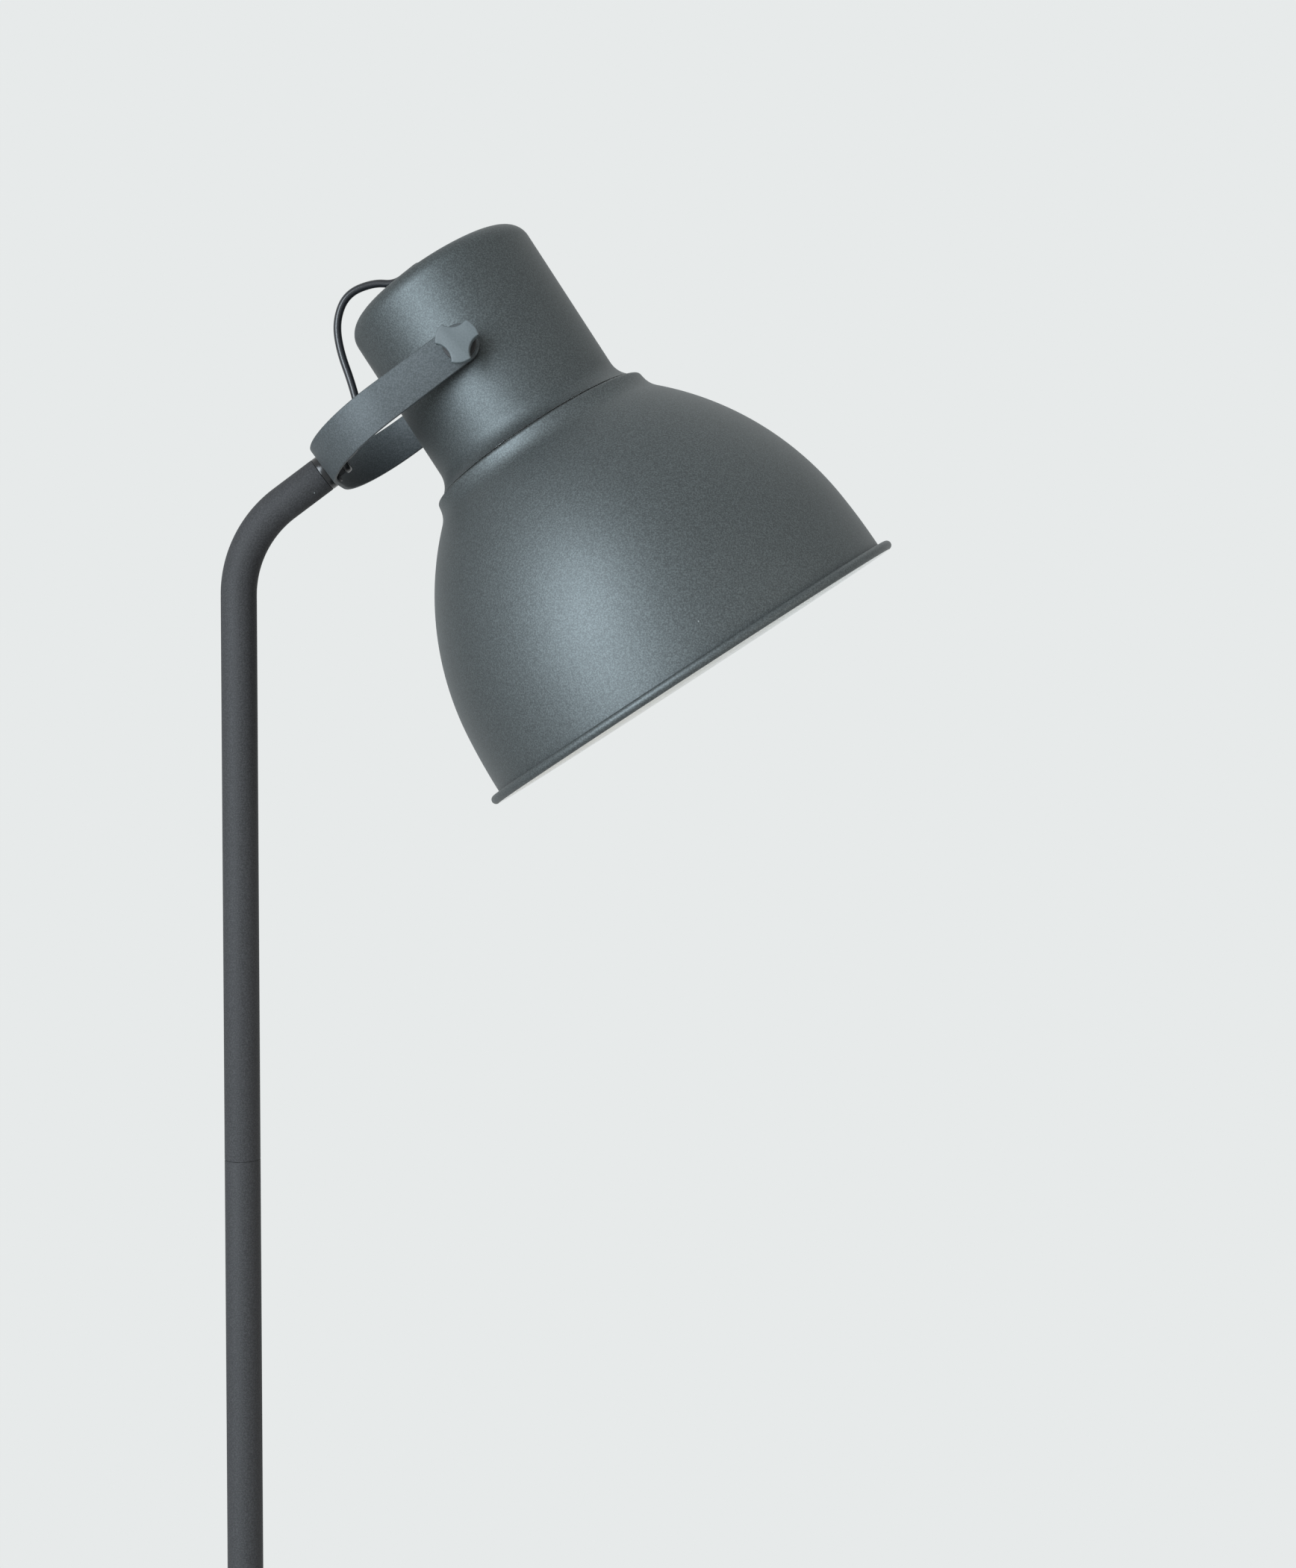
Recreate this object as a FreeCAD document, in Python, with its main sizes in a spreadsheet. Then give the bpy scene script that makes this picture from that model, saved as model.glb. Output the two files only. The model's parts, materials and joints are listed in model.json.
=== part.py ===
import FreeCAD, Part
import math
import os
import re
import Sketcher

# Reading floor lamp: a round weighted base, a three-piece steel pole with one bend, a yoke
# that swivels on the pole's end, and a spun shade on a cylindrical housing that tilts between
# two hand knobs. Millimetres. The origin is the centre of the base's underside on the floor,
# +Z is up, the head points towards +X, and "near" pieces lie on the -Y side.

doc = FreeCAD.newDocument("reading_floor_lamp")
sheet = doc.addObject("Spreadsheet::Sheet", "Dims")

sizes = (
    # Round base with its sheet cover, cast weight and rubber pads
    ("base_diameter", 300),
    ("base_height", 27),
    ("hem_lift", 2),
    ("cover_wall", 1.2),
    ("cover_corner", 8),
    ("weight_gap", 13.8),
    ("weight_thickness", 10),
    ("pad_height", 3),
    ("pad_diameter", 18),
    ("pad_circle", 120),
    ("pad_count", 5),
    ("boss_diameter", 60),
    ("lead_slot", 9),
    ("lead_well", 24),
    # Foot flange of the pole, with its three screws
    ("foot_diameter", 64),
    ("foot_thickness", 3),
    ("foot_bore", 13),
    ("spigot_length", 32),
    ("foot_screw_circle", 23.5),
    ("foot_screw_count", 3),
    ("foot_screw_diameter", 5),
    ("foot_screw_head", 9.5),
    ("foot_screw_head_height", 2.75),
    ("foot_screw_length", 16),
    # Gland at the base's rear rim
    ("gland_height", 8),
    ("gland_neck", 8),
    ("gland_flange", 11),
    ("gland_outside", 2.5),
    ("gland_inside", 2),
    ("gland_chamfer", 1),
    # Pole
    ("pole_setback", 60),
    ("pole_diameter", 23.5),
    ("pole_wall", 1.5),
    ("section_length", 582),
    ("upper_straight", 373.8),
    ("bend_radius", 75),
    ("end_angle", 36.5),
    ("end_straight", 31.6),
    ("joiner_length", 60),
    ("edge_break", 0.4),
    # Swivel at the pole's end
    ("plug_length", 20),
    ("ring_thickness", 4.4),
    ("tube_diameter", 10),
    ("tube_bore", 8),
    ("tube_recess", 2),
    ("swivel_washer_diameter", 22),
    ("swivel_washer_thickness", 1.5),
    ("swivel_nut_flats", 14),
    ("swivel_nut_height", 5),
    ("tube_overhang", 0.7),
    ("bush_diameter", 10),
    ("bush_length", 4.5),
    ("bush_stem", 8),
    ("bush_round", 1.5),
    # Yoke
    ("yoke_reach", 118),
    ("yoke_gap", 6.1),
    ("yoke_thickness", 2.4),
    ("yoke_corner", 58),
    ("yoke_base_width", 26.5),
    ("yoke_arm_width", 25),
    # Tilt pivot with its studs, spacers and hand knobs
    ("stud_diameter", 6),
    ("spacer_diameter", 24),
    ("knob_washer_diameter", 28),
    ("knob_washer_thickness", 2),
    ("knob_hub_diameter", 17),
    ("knob_hub_height", 4),
    ("knob_thickness", 7),
    ("hub_overlap", 1.75),
    ("stud_depth", 3.5),
    ("knob_radius", 14.5),
    ("lobe_width_angle", 53.2),
    ("lobe_angle", 42),
    ("scallop_radius", 11.5),
    # Head: its lean, and where it hangs from the pivot
    ("head_angle", 33.03),
    ("pivot_above_seam", 66.1),
    ("pivot_offset", 9.4),
    # Shade
    ("shade_wall", 1.2),
    ("rim_radius", 152),
    ("bead_radius", 3),
    ("skirt_radius", 147.53),
    ("skirt_drop", 2.2),
    ("skirt_sweep", 424),
    ("skirt_turn", 6.23),
    ("crown_sweep", 204),
    ("crown_turn", 46.5),
    ("neck_sweep", 5),
    ("collar_angle", 16),
    ("collar_edge", 2),
    ("collar_height", 10.5),
    ("throat_radius", 50),
    # Housing
    ("housing_radius", 66.5),
    ("housing_wall", 1.5),
    ("flare_radius", 18.4),
    ("flare_height", 15.9),
    ("housing_length", 126.6),
    ("housing_corner", 12.5),
    ("dome_height", 3),
    ("grommet_neck", 9),
    ("grommet_flange", 14),
    ("grommet_inside", 13),
    ("grommet_collar", 2.2),
    ("grommet_round", 1.2),
    # Clamp ring that holds the shade under the housing, with its three screws
    ("clamp_height", 30),
    ("clamp_wall", 1.9),
    ("clamp_flange", 3),
    ("shade_screw_circle", 57),
    ("shade_screw_count", 3),
    ("shade_screw_diameter", 4),
    ("shade_screw_head", 7.6),
    ("shade_screw_head_height", 2.5),
    ("shade_screw_length", 7),
    # Bracket inside the housing, with the lampholder and the bulb
    ("bracket_above_pivot", 13.5),
    ("bracket_wall", 2),
    ("bracket_width", 16),
    ("bracket_front", 12),
    ("bracket_half_span", 62.3),
    ("bracket_tail", 12.5),
    ("bracket_nut_flats", 10),
    ("bracket_nut_height", 5),
    ("stud_overhang", 1.3),
    ("nipple_diameter", 10),
    ("nipple_bore", 7),
    ("nipple_length", 22),
    ("nipple_nut_flats", 14),
    ("nipple_nut_height", 4.5),
    ("holder_diameter", 40),
    ("holder_length", 56),
    ("holder_depth", 29),
    ("holder_chamfer", 1),
    ("holder_round", 3),
    ("cap_diameter", 26.4),
    ("cap_length", 25),
    ("cap_clearance", 1.4),
    ("cap_play", 0.3),
    ("cap_shoulder", 4),
    ("cap_dish", 2),
    ("bulb_diameter", 60),
    ("bulb_drop", 83),
    ("glass_wall", 1),
    ("glass_lap", 6),
    ("glass_neck", 5),
    # Flexible lead
    ("lead_diameter", 5.2),
    ("lead_bend", 26),
    ("lead_straight", 13),
    # Corners of the free lead's route: along the swivel's axis from the pole's end and above it,
    # then behind the head's axis and over the housing's top edge
    ("loop_1_along", 43.13),
    ("loop_1_above", 16.74),
    ("loop_2_along", 51.01),
    ("loop_2_above", 35.8),
    ("loop_3_along", 57.66),
    ("loop_3_above", 58.24),
    ("loop_4_along", 67.11),
    ("loop_4_above", 74.88),
    ("loop_5_behind", 53.87),
    ("loop_5_over", 21.88),
    ("loop_6_behind", 34.61),
    ("loop_6_over", 18.66),
    ("loop_7_behind", 18.75),
    ("loop_7_over", 11.69),
    ("loop_8_behind", 6),
    ("loop_8_over", 15.5),
    ("loop_9_over", 11.5),
    # Clearances
    ("slide_gap", 0.05),
    ("bore_gap", 0.1),
    ("seat_gap", 0.1),
    ("screw_gap", 0.25),
)

# Sizes that follow from others. The yoke's arms stand off the housing by their gap. The shade's
# side is three arcs that touch each other: skirt, crown and neck. Heights in the head count from
# the rim's plane up its axis.
following_sizes = (
    ("yoke_span", "=2 * (housing_radius + yoke_gap + yoke_thickness)"),
    ("skirt_top_radius", "=skirt_radius - skirt_sweep * (1 - cos(skirt_turn))"),
    ("skirt_top_height", "=skirt_sweep * sin(skirt_turn) - skirt_drop"),
    ("crown_top_radius", "=skirt_top_radius - crown_sweep * (cos(skirt_turn) - cos(crown_turn))"),
    ("crown_top_height", "=skirt_top_height + crown_sweep * (sin(crown_turn) - sin(skirt_turn))"),
    ("neck_radius", "=crown_top_radius + neck_sweep * (cos(crown_turn) - cos(collar_angle))"),
    ("neck_height", "=crown_top_height + neck_sweep * (sin(crown_turn) - sin(collar_angle))"),
    ("seam_height", "=neck_height + collar_height"),
    ("pivot_height", "=seam_height + pivot_above_seam"),
    ("housing_height", "=seam_height + housing_length"),
    ("bracket_height", "=pivot_height + bracket_above_pivot"),
)
for row, (name, content) in enumerate(sizes + following_sizes, start=1):
    sheet.set("A%d" % row, name)
    sheet.set("B%d" % row, str(content))
    sheet.setAlias("B%d" % row, name)
doc.recompute()

alias_word = re.compile(r"\b(%s)\b" % "|".join(name for name, content in sizes + following_sizes))


def formula(text):
    # The sizes' names become references to the sheet's cells
    return alias_word.sub(r"Dims.\1", text)


def value(text):
    return float(sheet.evalExpression(formula(text)))


def place(x, y, z, axis="vector(0; 0; 1)", angle="0"):
    return "placement(vector(%s; %s; %s); rotation(%s; %s))" % (x, y, z, axis, angle)


# Places that several pieces share, as formulas in the sizes
pole_radius = "(pole_diameter / 2)"
pole_bore = "(pole_diameter / 2 - pole_wall)"
foot_top = "(base_height + foot_thickness)"
joint_height = "(%s + 2 * section_length)" % foot_top
bend_tangent = "(bend_radius * tan((90 - end_angle) / 2))"
bend_corner = "(%s + upper_straight + %s)" % (joint_height, bend_tangent)
end_x = "((%s + end_straight) * cos(end_angle) - pole_setback)" % bend_tangent
end_z = "(%s + (%s + end_straight) * sin(end_angle))" % (bend_corner, bend_tangent)
pivot_reach = "(ring_thickness + yoke_reach)"
pivot_x = "(%s + %s * cos(end_angle))" % (end_x, pivot_reach)
pivot_z = "(%s + %s * sin(end_angle))" % (end_z, pivot_reach)
weight_base = "pad_height"
boss_top = "(base_height - cover_wall)"
yoke_inner = "(ring_thickness + yoke_thickness)"
nut_base = "(%s + swivel_washer_thickness)" % yoke_inner
tube_end = "(%s + swivel_nut_height + tube_overhang)" % nut_base
bush_end = "(%s + bush_length)" % tube_end
arm_outer = "(yoke_span / 2)"
arm_inner = "(yoke_span / 2 - yoke_thickness)"
knob_base = "(%s + knob_washer_thickness + knob_hub_height)" % arm_outer
nipple_top = "(bracket_height + bracket_wall + nipple_nut_height + edge_break)"
nipple_end = "(%s - nipple_length)" % nipple_top

about_y = "vector(0; 1; 0)"
about_x = "vector(1; 0; 0)"
pole_place = place("-pole_setback", "0", "0")
joint_place = place("-pole_setback", "0", joint_height)
swivel_place = place(end_x, "0", end_z, about_y, "90 - end_angle")
head_place = "%s * %s" % (
    place(pivot_x, "0", pivot_z, about_y, "-head_angle"),
    place("pivot_offset", "0", "-pivot_height"))

# The outer side is the way that local +Z points: -Y for the near side, +Y for the far side
side_turn = {"near": "90", "far": "-90"}
side_sign = {"near": -1, "far": 1}

# Where an arc takes all the room it can, it uses this share of its shorter run
corner_share = 0.45

parts = []


def finish(piece, label, placement):
    piece.Label = label
    piece.setExpression("Placement", formula(placement))
    parts.append(piece)
    return piece


def bind(item, **lengths):
    for prop, text in lengths.items():
        item.setExpression(prop.replace("_", "."), formula(text))
    return item


def shift(item, x="0", y="0", z="0"):
    item.setExpression("Placement.Base.x", formula(x))
    item.setExpression("Placement.Base.y", formula(y))
    item.setExpression("Placement.Base.z", formula(z))
    return item


def cylinder(name, radius, height, x="0", y="0", z="0"):
    item = doc.addObject("Part::Cylinder", name)
    bind(item, Radius=radius, Height=height)
    return shift(item, x, y, z)


def fasten_point(sketch, edge, end, x, y):
    # A sketch point at x, y, both formulas; a zero lies on the sketch's own axis
    if abs(value(x)) < 1e-9:
        sketch.addConstraint(Sketcher.Constraint("PointOnObject", edge, end, -2))
    else:
        index = sketch.addConstraint(
            Sketcher.Constraint("DistanceX", -1, 1, edge, end, value(x)))
        sketch.setExpression("Constraints[%d]" % index, formula(x))
    if abs(value(y)) < 1e-9:
        sketch.addConstraint(Sketcher.Constraint("PointOnObject", edge, end, -1))
    else:
        index = sketch.addConstraint(
            Sketcher.Constraint("DistanceY", -1, 1, edge, end, value(y)))
        sketch.setExpression("Constraints[%d]" % index, formula(y))


def new_sketch(body, name, plane):
    sketch = body.newObject("Sketcher::SketchObject", name)
    origin_plane = [item for item in body.Origin.OriginFeatures if item.Role == plane][0]
    sketch.AttachmentSupport = [(origin_plane, "")]
    sketch.MapMode = "FlatFace"
    return sketch


def draw(sketch, steps, closed=True):
    # Each step is a corner (x, y), reached by a straight side, or (x, y, radius, turn), reached
    # by an arc that turns left ("left") or right ("right") on its way there
    corners = [(value(step[0]), value(step[1])) for step in steps]
    ends = []
    first = 0 if closed else 1
    for index in range(first, len(steps)):
        start = FreeCAD.Vector(*corners[index - 1], 0)
        end = FreeCAD.Vector(*corners[index], 0)
        step = steps[index]
        if len(step) == 2:
            edge = sketch.addGeometry(Part.LineSegment(start, end))
            ends.append((edge, 1, 2))
            continue
        radius = value(step[2])
        chord = end - start
        left = FreeCAD.Vector(-chord.y, chord.x, 0).normalize()
        reach = math.sqrt(max(radius ** 2 - (chord.Length / 2) ** 2, 0))
        turn = 1 if step[3] == "left" else -1
        centre = (start + end) * 0.5 + left * (reach * turn)
        from_start = start - centre
        from_end = end - centre
        angles = [math.atan2(from_start.y, from_start.x), math.atan2(from_end.y, from_end.x)]
        if turn < 0:
            angles.reverse()
        circle = Part.Circle(centre, FreeCAD.Vector(0, 0, 1), radius)
        edge = sketch.addGeometry(Part.ArcOfCircle(circle, angles[0], angles[1]))
        ends.append((edge, 1, 2) if turn > 0 else (edge, 2, 1))
        index_radius = sketch.addConstraint(Sketcher.Constraint("Radius", edge, radius))
        sketch.setExpression("Constraints[%d]" % index_radius, formula(step[2]))
    for here, after in zip(ends, ends[1:] + (ends[:1] if closed else [])):
        sketch.addConstraint(Sketcher.Constraint("Coincident", here[0], here[2], after[0], after[1]))
    if not closed:
        fasten_point(sketch, ends[0][0], ends[0][1], steps[0][0], steps[0][1])
    for (edge, start_end, far_end), step in zip(ends, steps[first:]):
        fasten_point(sketch, edge, far_end, step[0], step[1])
    return sketch


def new_body(label, placement):
    return finish(doc.addObject("PartDesign::Body", label), label, placement)


def turned(label, placement, steps):
    # A turned or spun piece: its half section, as (radius, height), round the body's Z axis
    body = new_body(label, placement)
    sketch = draw(new_sketch(body, label + "_section", "XZ_Plane"), steps)
    feature = body.newObject("PartDesign::Revolution", label + "_turned")
    feature.Profile = sketch
    feature.ReferenceAxis = (sketch, ["V_Axis"])
    feature.Angle = 360
    return body


def tube_steps(inner, outer, low, high, broken="0"):
    # A plain ring, with its outer edges broken where a size for that is given
    if broken == "0":
        return ((inner, low), (outer, low), (outer, high), (inner, high))
    narrow = "%s - %s" % (outer, broken)
    return ((inner, low), (narrow, low), (outer, "%s + %s" % (low, broken)),
            (outer, "%s - %s" % (high, broken)), (narrow, high), (inner, high))


def drill(body, name, plane, holes):
    # Round holes (x, y, radius) right through the body, square to one of its planes
    sketch = new_sketch(body, name + "_centres", plane)
    for x, y, radius in holes:
        centre = FreeCAD.Vector(value(x), value(y), 0)
        circle = Part.Circle(centre, FreeCAD.Vector(0, 0, 1), value(radius))
        edge = sketch.addGeometry(circle)
        index = sketch.addConstraint(Sketcher.Constraint("Radius", edge, value(radius)))
        sketch.setExpression("Constraints[%d]" % index, formula(radius))
        fasten_point(sketch, edge, 3, x, y)
    return pocket(body, name, sketch)


def pocket(body, name, sketch):
    doc.recompute()
    before = body.Shape.Volume
    feature = body.newObject("PartDesign::Pocket", name)
    feature.Profile = sketch
    feature.Type = "ThroughAll"
    feature.SideType = "Symmetric"
    doc.recompute()
    if not body.Shape.Volume < before - 1e-3:
        raise ValueError("%s cuts nothing" % name)
    return feature


def circle_points(radius, count):
    # Points evenly round a circle, as formulas; radius and count are sizes
    number = int(value(count))
    for index in range(number):
        turn = 360 * index / number
        yield "%s * cos(%g)" % (radius, turn), "%s * sin(%g)" % (radius, turn)


def group(label, placement, items):
    joined = doc.addObject("Part::Compound", label)
    joined.Links = items
    return finish(joined, label, placement)


def hex_nut(label, placement, flats, height, bore):
    # A hexagon nut that stands on local z = 0
    prism = doc.addObject("Part::Prism", label + "_hexagon")
    prism.Polygon = 6
    bind(prism, Circumradius="%s / sqrt(3)" % flats, Height=height)
    hole = cylinder(label + "_bore", bore, "3 * %s" % height, z="-" + height)
    nut = doc.addObject("Part::Cut", label)
    nut.Base = prism
    nut.Tool = hole
    if placement is None:
        return nut
    return finish(nut, label, placement)


def rounded_path(points, radii=None):
    # Straight runs joined by tangent arcs; where no radius is given, the arc at a point is as
    # large as its two runs allow
    vectors = [FreeCAD.Vector(*point) for point in points]
    edges = []
    here = vectors[0]
    used = []
    for index in range(1, len(vectors) - 1):
        corner = vectors[index]
        back = vectors[index - 1] - corner
        ahead = vectors[index + 1] - corner
        turn = math.pi - back.getAngle(ahead)
        if radii:
            radius = radii[index - 1]
        else:
            radius = corner_share * min(back.Length, ahead.Length) / math.tan(turn / 2)
        tangent = radius * math.tan(turn / 2)
        back.normalize()
        ahead.normalize()
        start = corner + back * tangent
        end = corner + ahead * tangent
        inward = (back + ahead).normalize()
        middle = corner + inward * (radius / math.cos(turn / 2) - radius)
        edges.append(Part.LineSegment(here, start).toShape())
        edges.append(Part.Arc(start, middle, end).toShape())
        here = end
        used.append(radius)
    edges.append(Part.LineSegment(here, vectors[-1]).toShape())
    return Part.Wire(edges), used


def lead(label, points, radii=None):
    # A round flexible lead along its route
    path, used = rounded_path(points, radii)
    radius = value("lead_diameter / 2")
    first = path.Edges[0]
    start = first.valueAt(first.FirstParameter)
    direction = first.tangentAt(first.FirstParameter)
    section = Part.Wire([Part.makeCircle(radius, start, direction)])
    solid = path.makePipeShell([section], True, True)
    expected = math.pi * radius ** 2 * path.Length
    print("%s: arc radii %s, volume %.4f of section times length" % (
        label, ", ".join("%.1f" % used_radius for used_radius in used), solid.Volume / expected))
    feature = doc.addObject("Part::Feature", label)
    feature.Shape = solid
    feature.Label = label
    parts.append(feature)
    return feature


def make_base_cover():
    # Pressed sheet cover: open below, rounded shoulder, flat top
    outer = "(base_diameter / 2)"
    inner = "(base_diameter / 2 - cover_wall)"
    inner_corner = "(cover_corner - cover_wall)"
    steps = (
        ("0", boss_top),
        ("%s - %s" % (inner, inner_corner), boss_top),
        (inner, "base_height - cover_corner", inner_corner, "right"),
        (inner, "hem_lift"),
        (outer, "hem_lift"),
        (outer, "base_height - cover_corner"),
        ("%s - cover_corner" % outer, "base_height", "cover_corner", "left"),
        ("0", "base_height"),
    )
    body = turned("base_cover", place("0", "0", "0"), steps)
    holes = [("-pole_setback", "0", "foot_bore / 2 + bore_gap")]
    for x, y in circle_points("foot_screw_circle", "foot_screw_count"):
        holes.append(("%s - pole_setback" % x, y, "foot_screw_diameter / 2 + screw_gap"))
    drill(body, "base_cover_screw_holes", "XY_Plane", holes)
    # Gland hole in the rear wall only
    doc.recompute()
    before = body.Shape.Volume
    sketch = new_sketch(body, "base_cover_gland_centre", "YZ_Plane")
    edge = sketch.addGeometry(Part.Circle(
        FreeCAD.Vector(0, value("gland_height"), 0), FreeCAD.Vector(0, 0, 1), value("gland_neck / 2")))
    index = sketch.addConstraint(Sketcher.Constraint("Radius", edge, value("gland_neck / 2")))
    sketch.setExpression("Constraints[%d]" % index, formula("gland_neck / 2"))
    fasten_point(sketch, edge, 3, "0", "gland_height")
    hole = body.newObject("PartDesign::Pocket", "base_cover_gland_hole")
    hole.Profile = sketch
    hole.Type = "Length"
    hole.setExpression("Length", formula("base_diameter"))
    hole.Reversed = False
    doc.recompute()
    if not body.Shape.Volume < before - 1e-3:
        raise ValueError("the gland hole cuts nothing")
    return body


def make_base_weight():
    # Cast disc with a boss under the foot flange and a slot for the lead, open to the rear
    disc = cylinder("weight_disc", "base_diameter / 2 - cover_wall - weight_gap",
                    "weight_thickness", z=weight_base)
    boss = cylinder("weight_boss", "boss_diameter / 2", "%s - %s" % (boss_top, weight_base),
                    x="-pole_setback", z=weight_base)
    well = cylinder("weight_well", "lead_well / 2", "base_height", x="-pole_setback")
    slot = doc.addObject("Part::Box", "weight_slot")
    bind(slot, Length="base_diameter / 2", Width="lead_slot", Height="base_height")
    shift(slot, "-pole_setback - base_diameter / 2", "-lead_slot / 2", "0")
    cutters = [well, slot]
    for index, (x, y) in enumerate(circle_points("foot_screw_circle", "foot_screw_count")):
        cutters.append(cylinder("weight_tap_%d" % index, "foot_screw_diameter / 2 + slide_gap",
                                "base_height", x="%s - pole_setback" % x, y=y))
    solid = doc.addObject("Part::MultiFuse", "weight_casting")
    solid.Shapes = [disc, boss]
    holes = doc.addObject("Part::MultiFuse", "weight_holes")
    holes.Shapes = cutters
    weight = doc.addObject("Part::Cut", "base_weight")
    weight.Base = solid
    weight.Tool = holes
    return finish(weight, "base_weight", place("0", "0", "0"))


def make_base_pads():
    # Rubber pads under the weight, one in the middle and a ring clear of the lead's slot
    items = [cylinder("pad_middle", "pad_diameter / 2", "pad_height")]
    for index, (x, y) in enumerate(circle_points("pad_circle", "pad_count")):
        items.append(cylinder("pad_%d" % index, "pad_diameter / 2", "pad_height", x=x, y=y))
    return group("base_pads", place("0", "0", "0"), items)


def make_foot_plate():
    # Flange with a spigot that the pole slides over
    spigot = "(%s - slide_gap)" % pole_bore
    steps = (
        ("foot_bore / 2", "base_height"),
        ("foot_diameter / 2", "base_height"),
        ("foot_diameter / 2", "%s - edge_break" % foot_top),
        ("foot_diameter / 2 - edge_break", foot_top),
        (spigot, foot_top),
        (spigot, "%s + spigot_length" % foot_top),
        ("foot_bore / 2", "%s + spigot_length" % foot_top),
    )
    body = turned("foot_plate", pole_place, steps)
    holes = []
    for x, y in circle_points("foot_screw_circle", "foot_screw_count"):
        holes.append((x, y, "foot_screw_diameter / 2 + screw_gap"))
    drill(body, "foot_plate_screw_holes", "XY_Plane", holes)
    return body


def make_foot_screws():
    items = []
    for index, (x, y) in enumerate(circle_points("foot_screw_circle", "foot_screw_count")):
        head = cylinder("foot_screw_head_%d" % index, "foot_screw_head / 2",
                        "foot_screw_head_height", x=x, y=y, z=foot_top)
        shank = cylinder("foot_screw_shank_%d" % index, "foot_screw_diameter / 2",
                         "foot_screw_length", x=x, y=y, z="%s - foot_screw_length" % foot_top)
        screw = doc.addObject("Part::Fuse", "foot_screw_%d" % index)
        screw.Base = head
        screw.Tool = shank
        items.append(screw)
    return group("foot_screws", pole_place, items)


def make_base_gland():
    # Rubber gland in the cover's rear wall; local +Z points out to the rear
    outer = "(base_diameter / 2)"
    inner = "(base_diameter / 2 - cover_wall - 2 * seat_gap)"
    bore = "(lead_diameter / 2 + bore_gap)"
    steps = (
        (bore, "%s - gland_inside" % inner),
        ("gland_flange / 2", "%s - gland_inside" % inner),
        ("gland_flange / 2", inner),
        ("gland_neck / 2 - slide_gap", inner),
        ("gland_neck / 2 - slide_gap", outer),
        ("gland_flange / 2", outer),
        ("gland_flange / 2 - gland_chamfer", "%s + gland_outside" % outer),
        (bore, "%s + gland_outside" % outer),
    )
    return turned("base_gland", place("0", "0", "gland_height", about_y, "-90"), steps)


def make_pole():
    bore = pole_bore
    turned("lower_pole", pole_place,
           tube_steps(bore, pole_radius, foot_top, "%s + section_length" % foot_top, "edge_break"))
    turned("middle_pole", pole_place,
           tube_steps(bore, pole_radius, "%s + section_length" % foot_top, joint_height, "edge_break"))
    sleeve = "(%s - slide_gap)" % bore
    for label, middle in (("lower_joiner", "%s + section_length" % foot_top),
                          ("upper_joiner", joint_height)):
        turned(label, pole_place,
               tube_steps("%s - pole_wall" % sleeve, sleeve, "(%s - joiner_length / 2)" % middle,
                          "(%s + joiner_length / 2)" % middle, "edge_break"))
    # The upper section is one tube: straight, the bend, and a short straight end
    body = new_body("upper_pole", joint_place)
    ring = new_sketch(body, "upper_pole_ring", "XY_Plane")
    for radius in (pole_radius, bore):
        edge = ring.addGeometry(Part.Circle(
            FreeCAD.Vector(0, 0, 0), FreeCAD.Vector(0, 0, 1), value(radius)))
        index = ring.addConstraint(Sketcher.Constraint("Radius", edge, value(radius)))
        ring.setExpression("Constraints[%d]" % index, formula(radius))
        ring.addConstraint(Sketcher.Constraint("Coincident", edge, 3, -1, 1))
    bend_x = "bend_radius * (1 - sin(end_angle))"
    bend_z = "upper_straight + bend_radius * cos(end_angle)"
    path = draw(new_sketch(body, "upper_pole_route", "XZ_Plane"), (
        ("0", "0"),
        ("0", "upper_straight"),
        (bend_x, bend_z, "bend_radius", "right"),
        ("%s + end_straight * cos(end_angle)" % bend_x, "%s + end_straight * sin(end_angle)" % bend_z),
    ), closed=False)
    pipe = body.newObject("PartDesign::AdditivePipe", "upper_pole_tube")
    pipe.Profile = ring
    pipe.Spine = (path, ["Edge1", "Edge2", "Edge3"])
    return body


def make_swivel():
    # All on the axis of the pole's end: local z = 0 is the end face of the pole
    sleeve = "(%s - slide_gap)" % pole_bore
    tube = "(tube_diameter / 2)"
    turned("pole_end_plug", swivel_place,
           tube_steps("%s + slide_gap" % tube, sleeve, "-plug_length", "0"))
    turned("swivel_ring", swivel_place,
           tube_steps("%s + bore_gap" % tube, pole_radius, "0", "ring_thickness", "edge_break"))
    turned("swivel_tube", swivel_place,
           tube_steps("tube_bore / 2", tube, "tube_recess - plug_length", tube_end))
    turned("swivel_washer", swivel_place,
           tube_steps("%s + bore_gap" % tube, "swivel_washer_diameter / 2", yoke_inner, nut_base))
    hex_nut("swivel_nut", "%s * %s" % (swivel_place, place("0", "0", nut_base)),
            "swivel_nut_flats", "swivel_nut_height", "%s + slide_gap" % tube)
    # Bush with a stem in the tube, where the lead comes out
    bore = "(lead_diameter / 2 + bore_gap)"
    stem = "(tube_bore / 2 - slide_gap)"
    turned("cable_bush", swivel_place, (
        (bore, "%s - bush_stem" % tube_end),
        (stem, "%s - bush_stem" % tube_end),
        (stem, tube_end),
        ("bush_diameter / 2", tube_end),
        ("bush_diameter / 2", "%s - bush_round" % bush_end),
        ("bush_diameter / 2 - bush_round", bush_end, "bush_round", "left"),
        (bore, bush_end),
    ))


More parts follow.
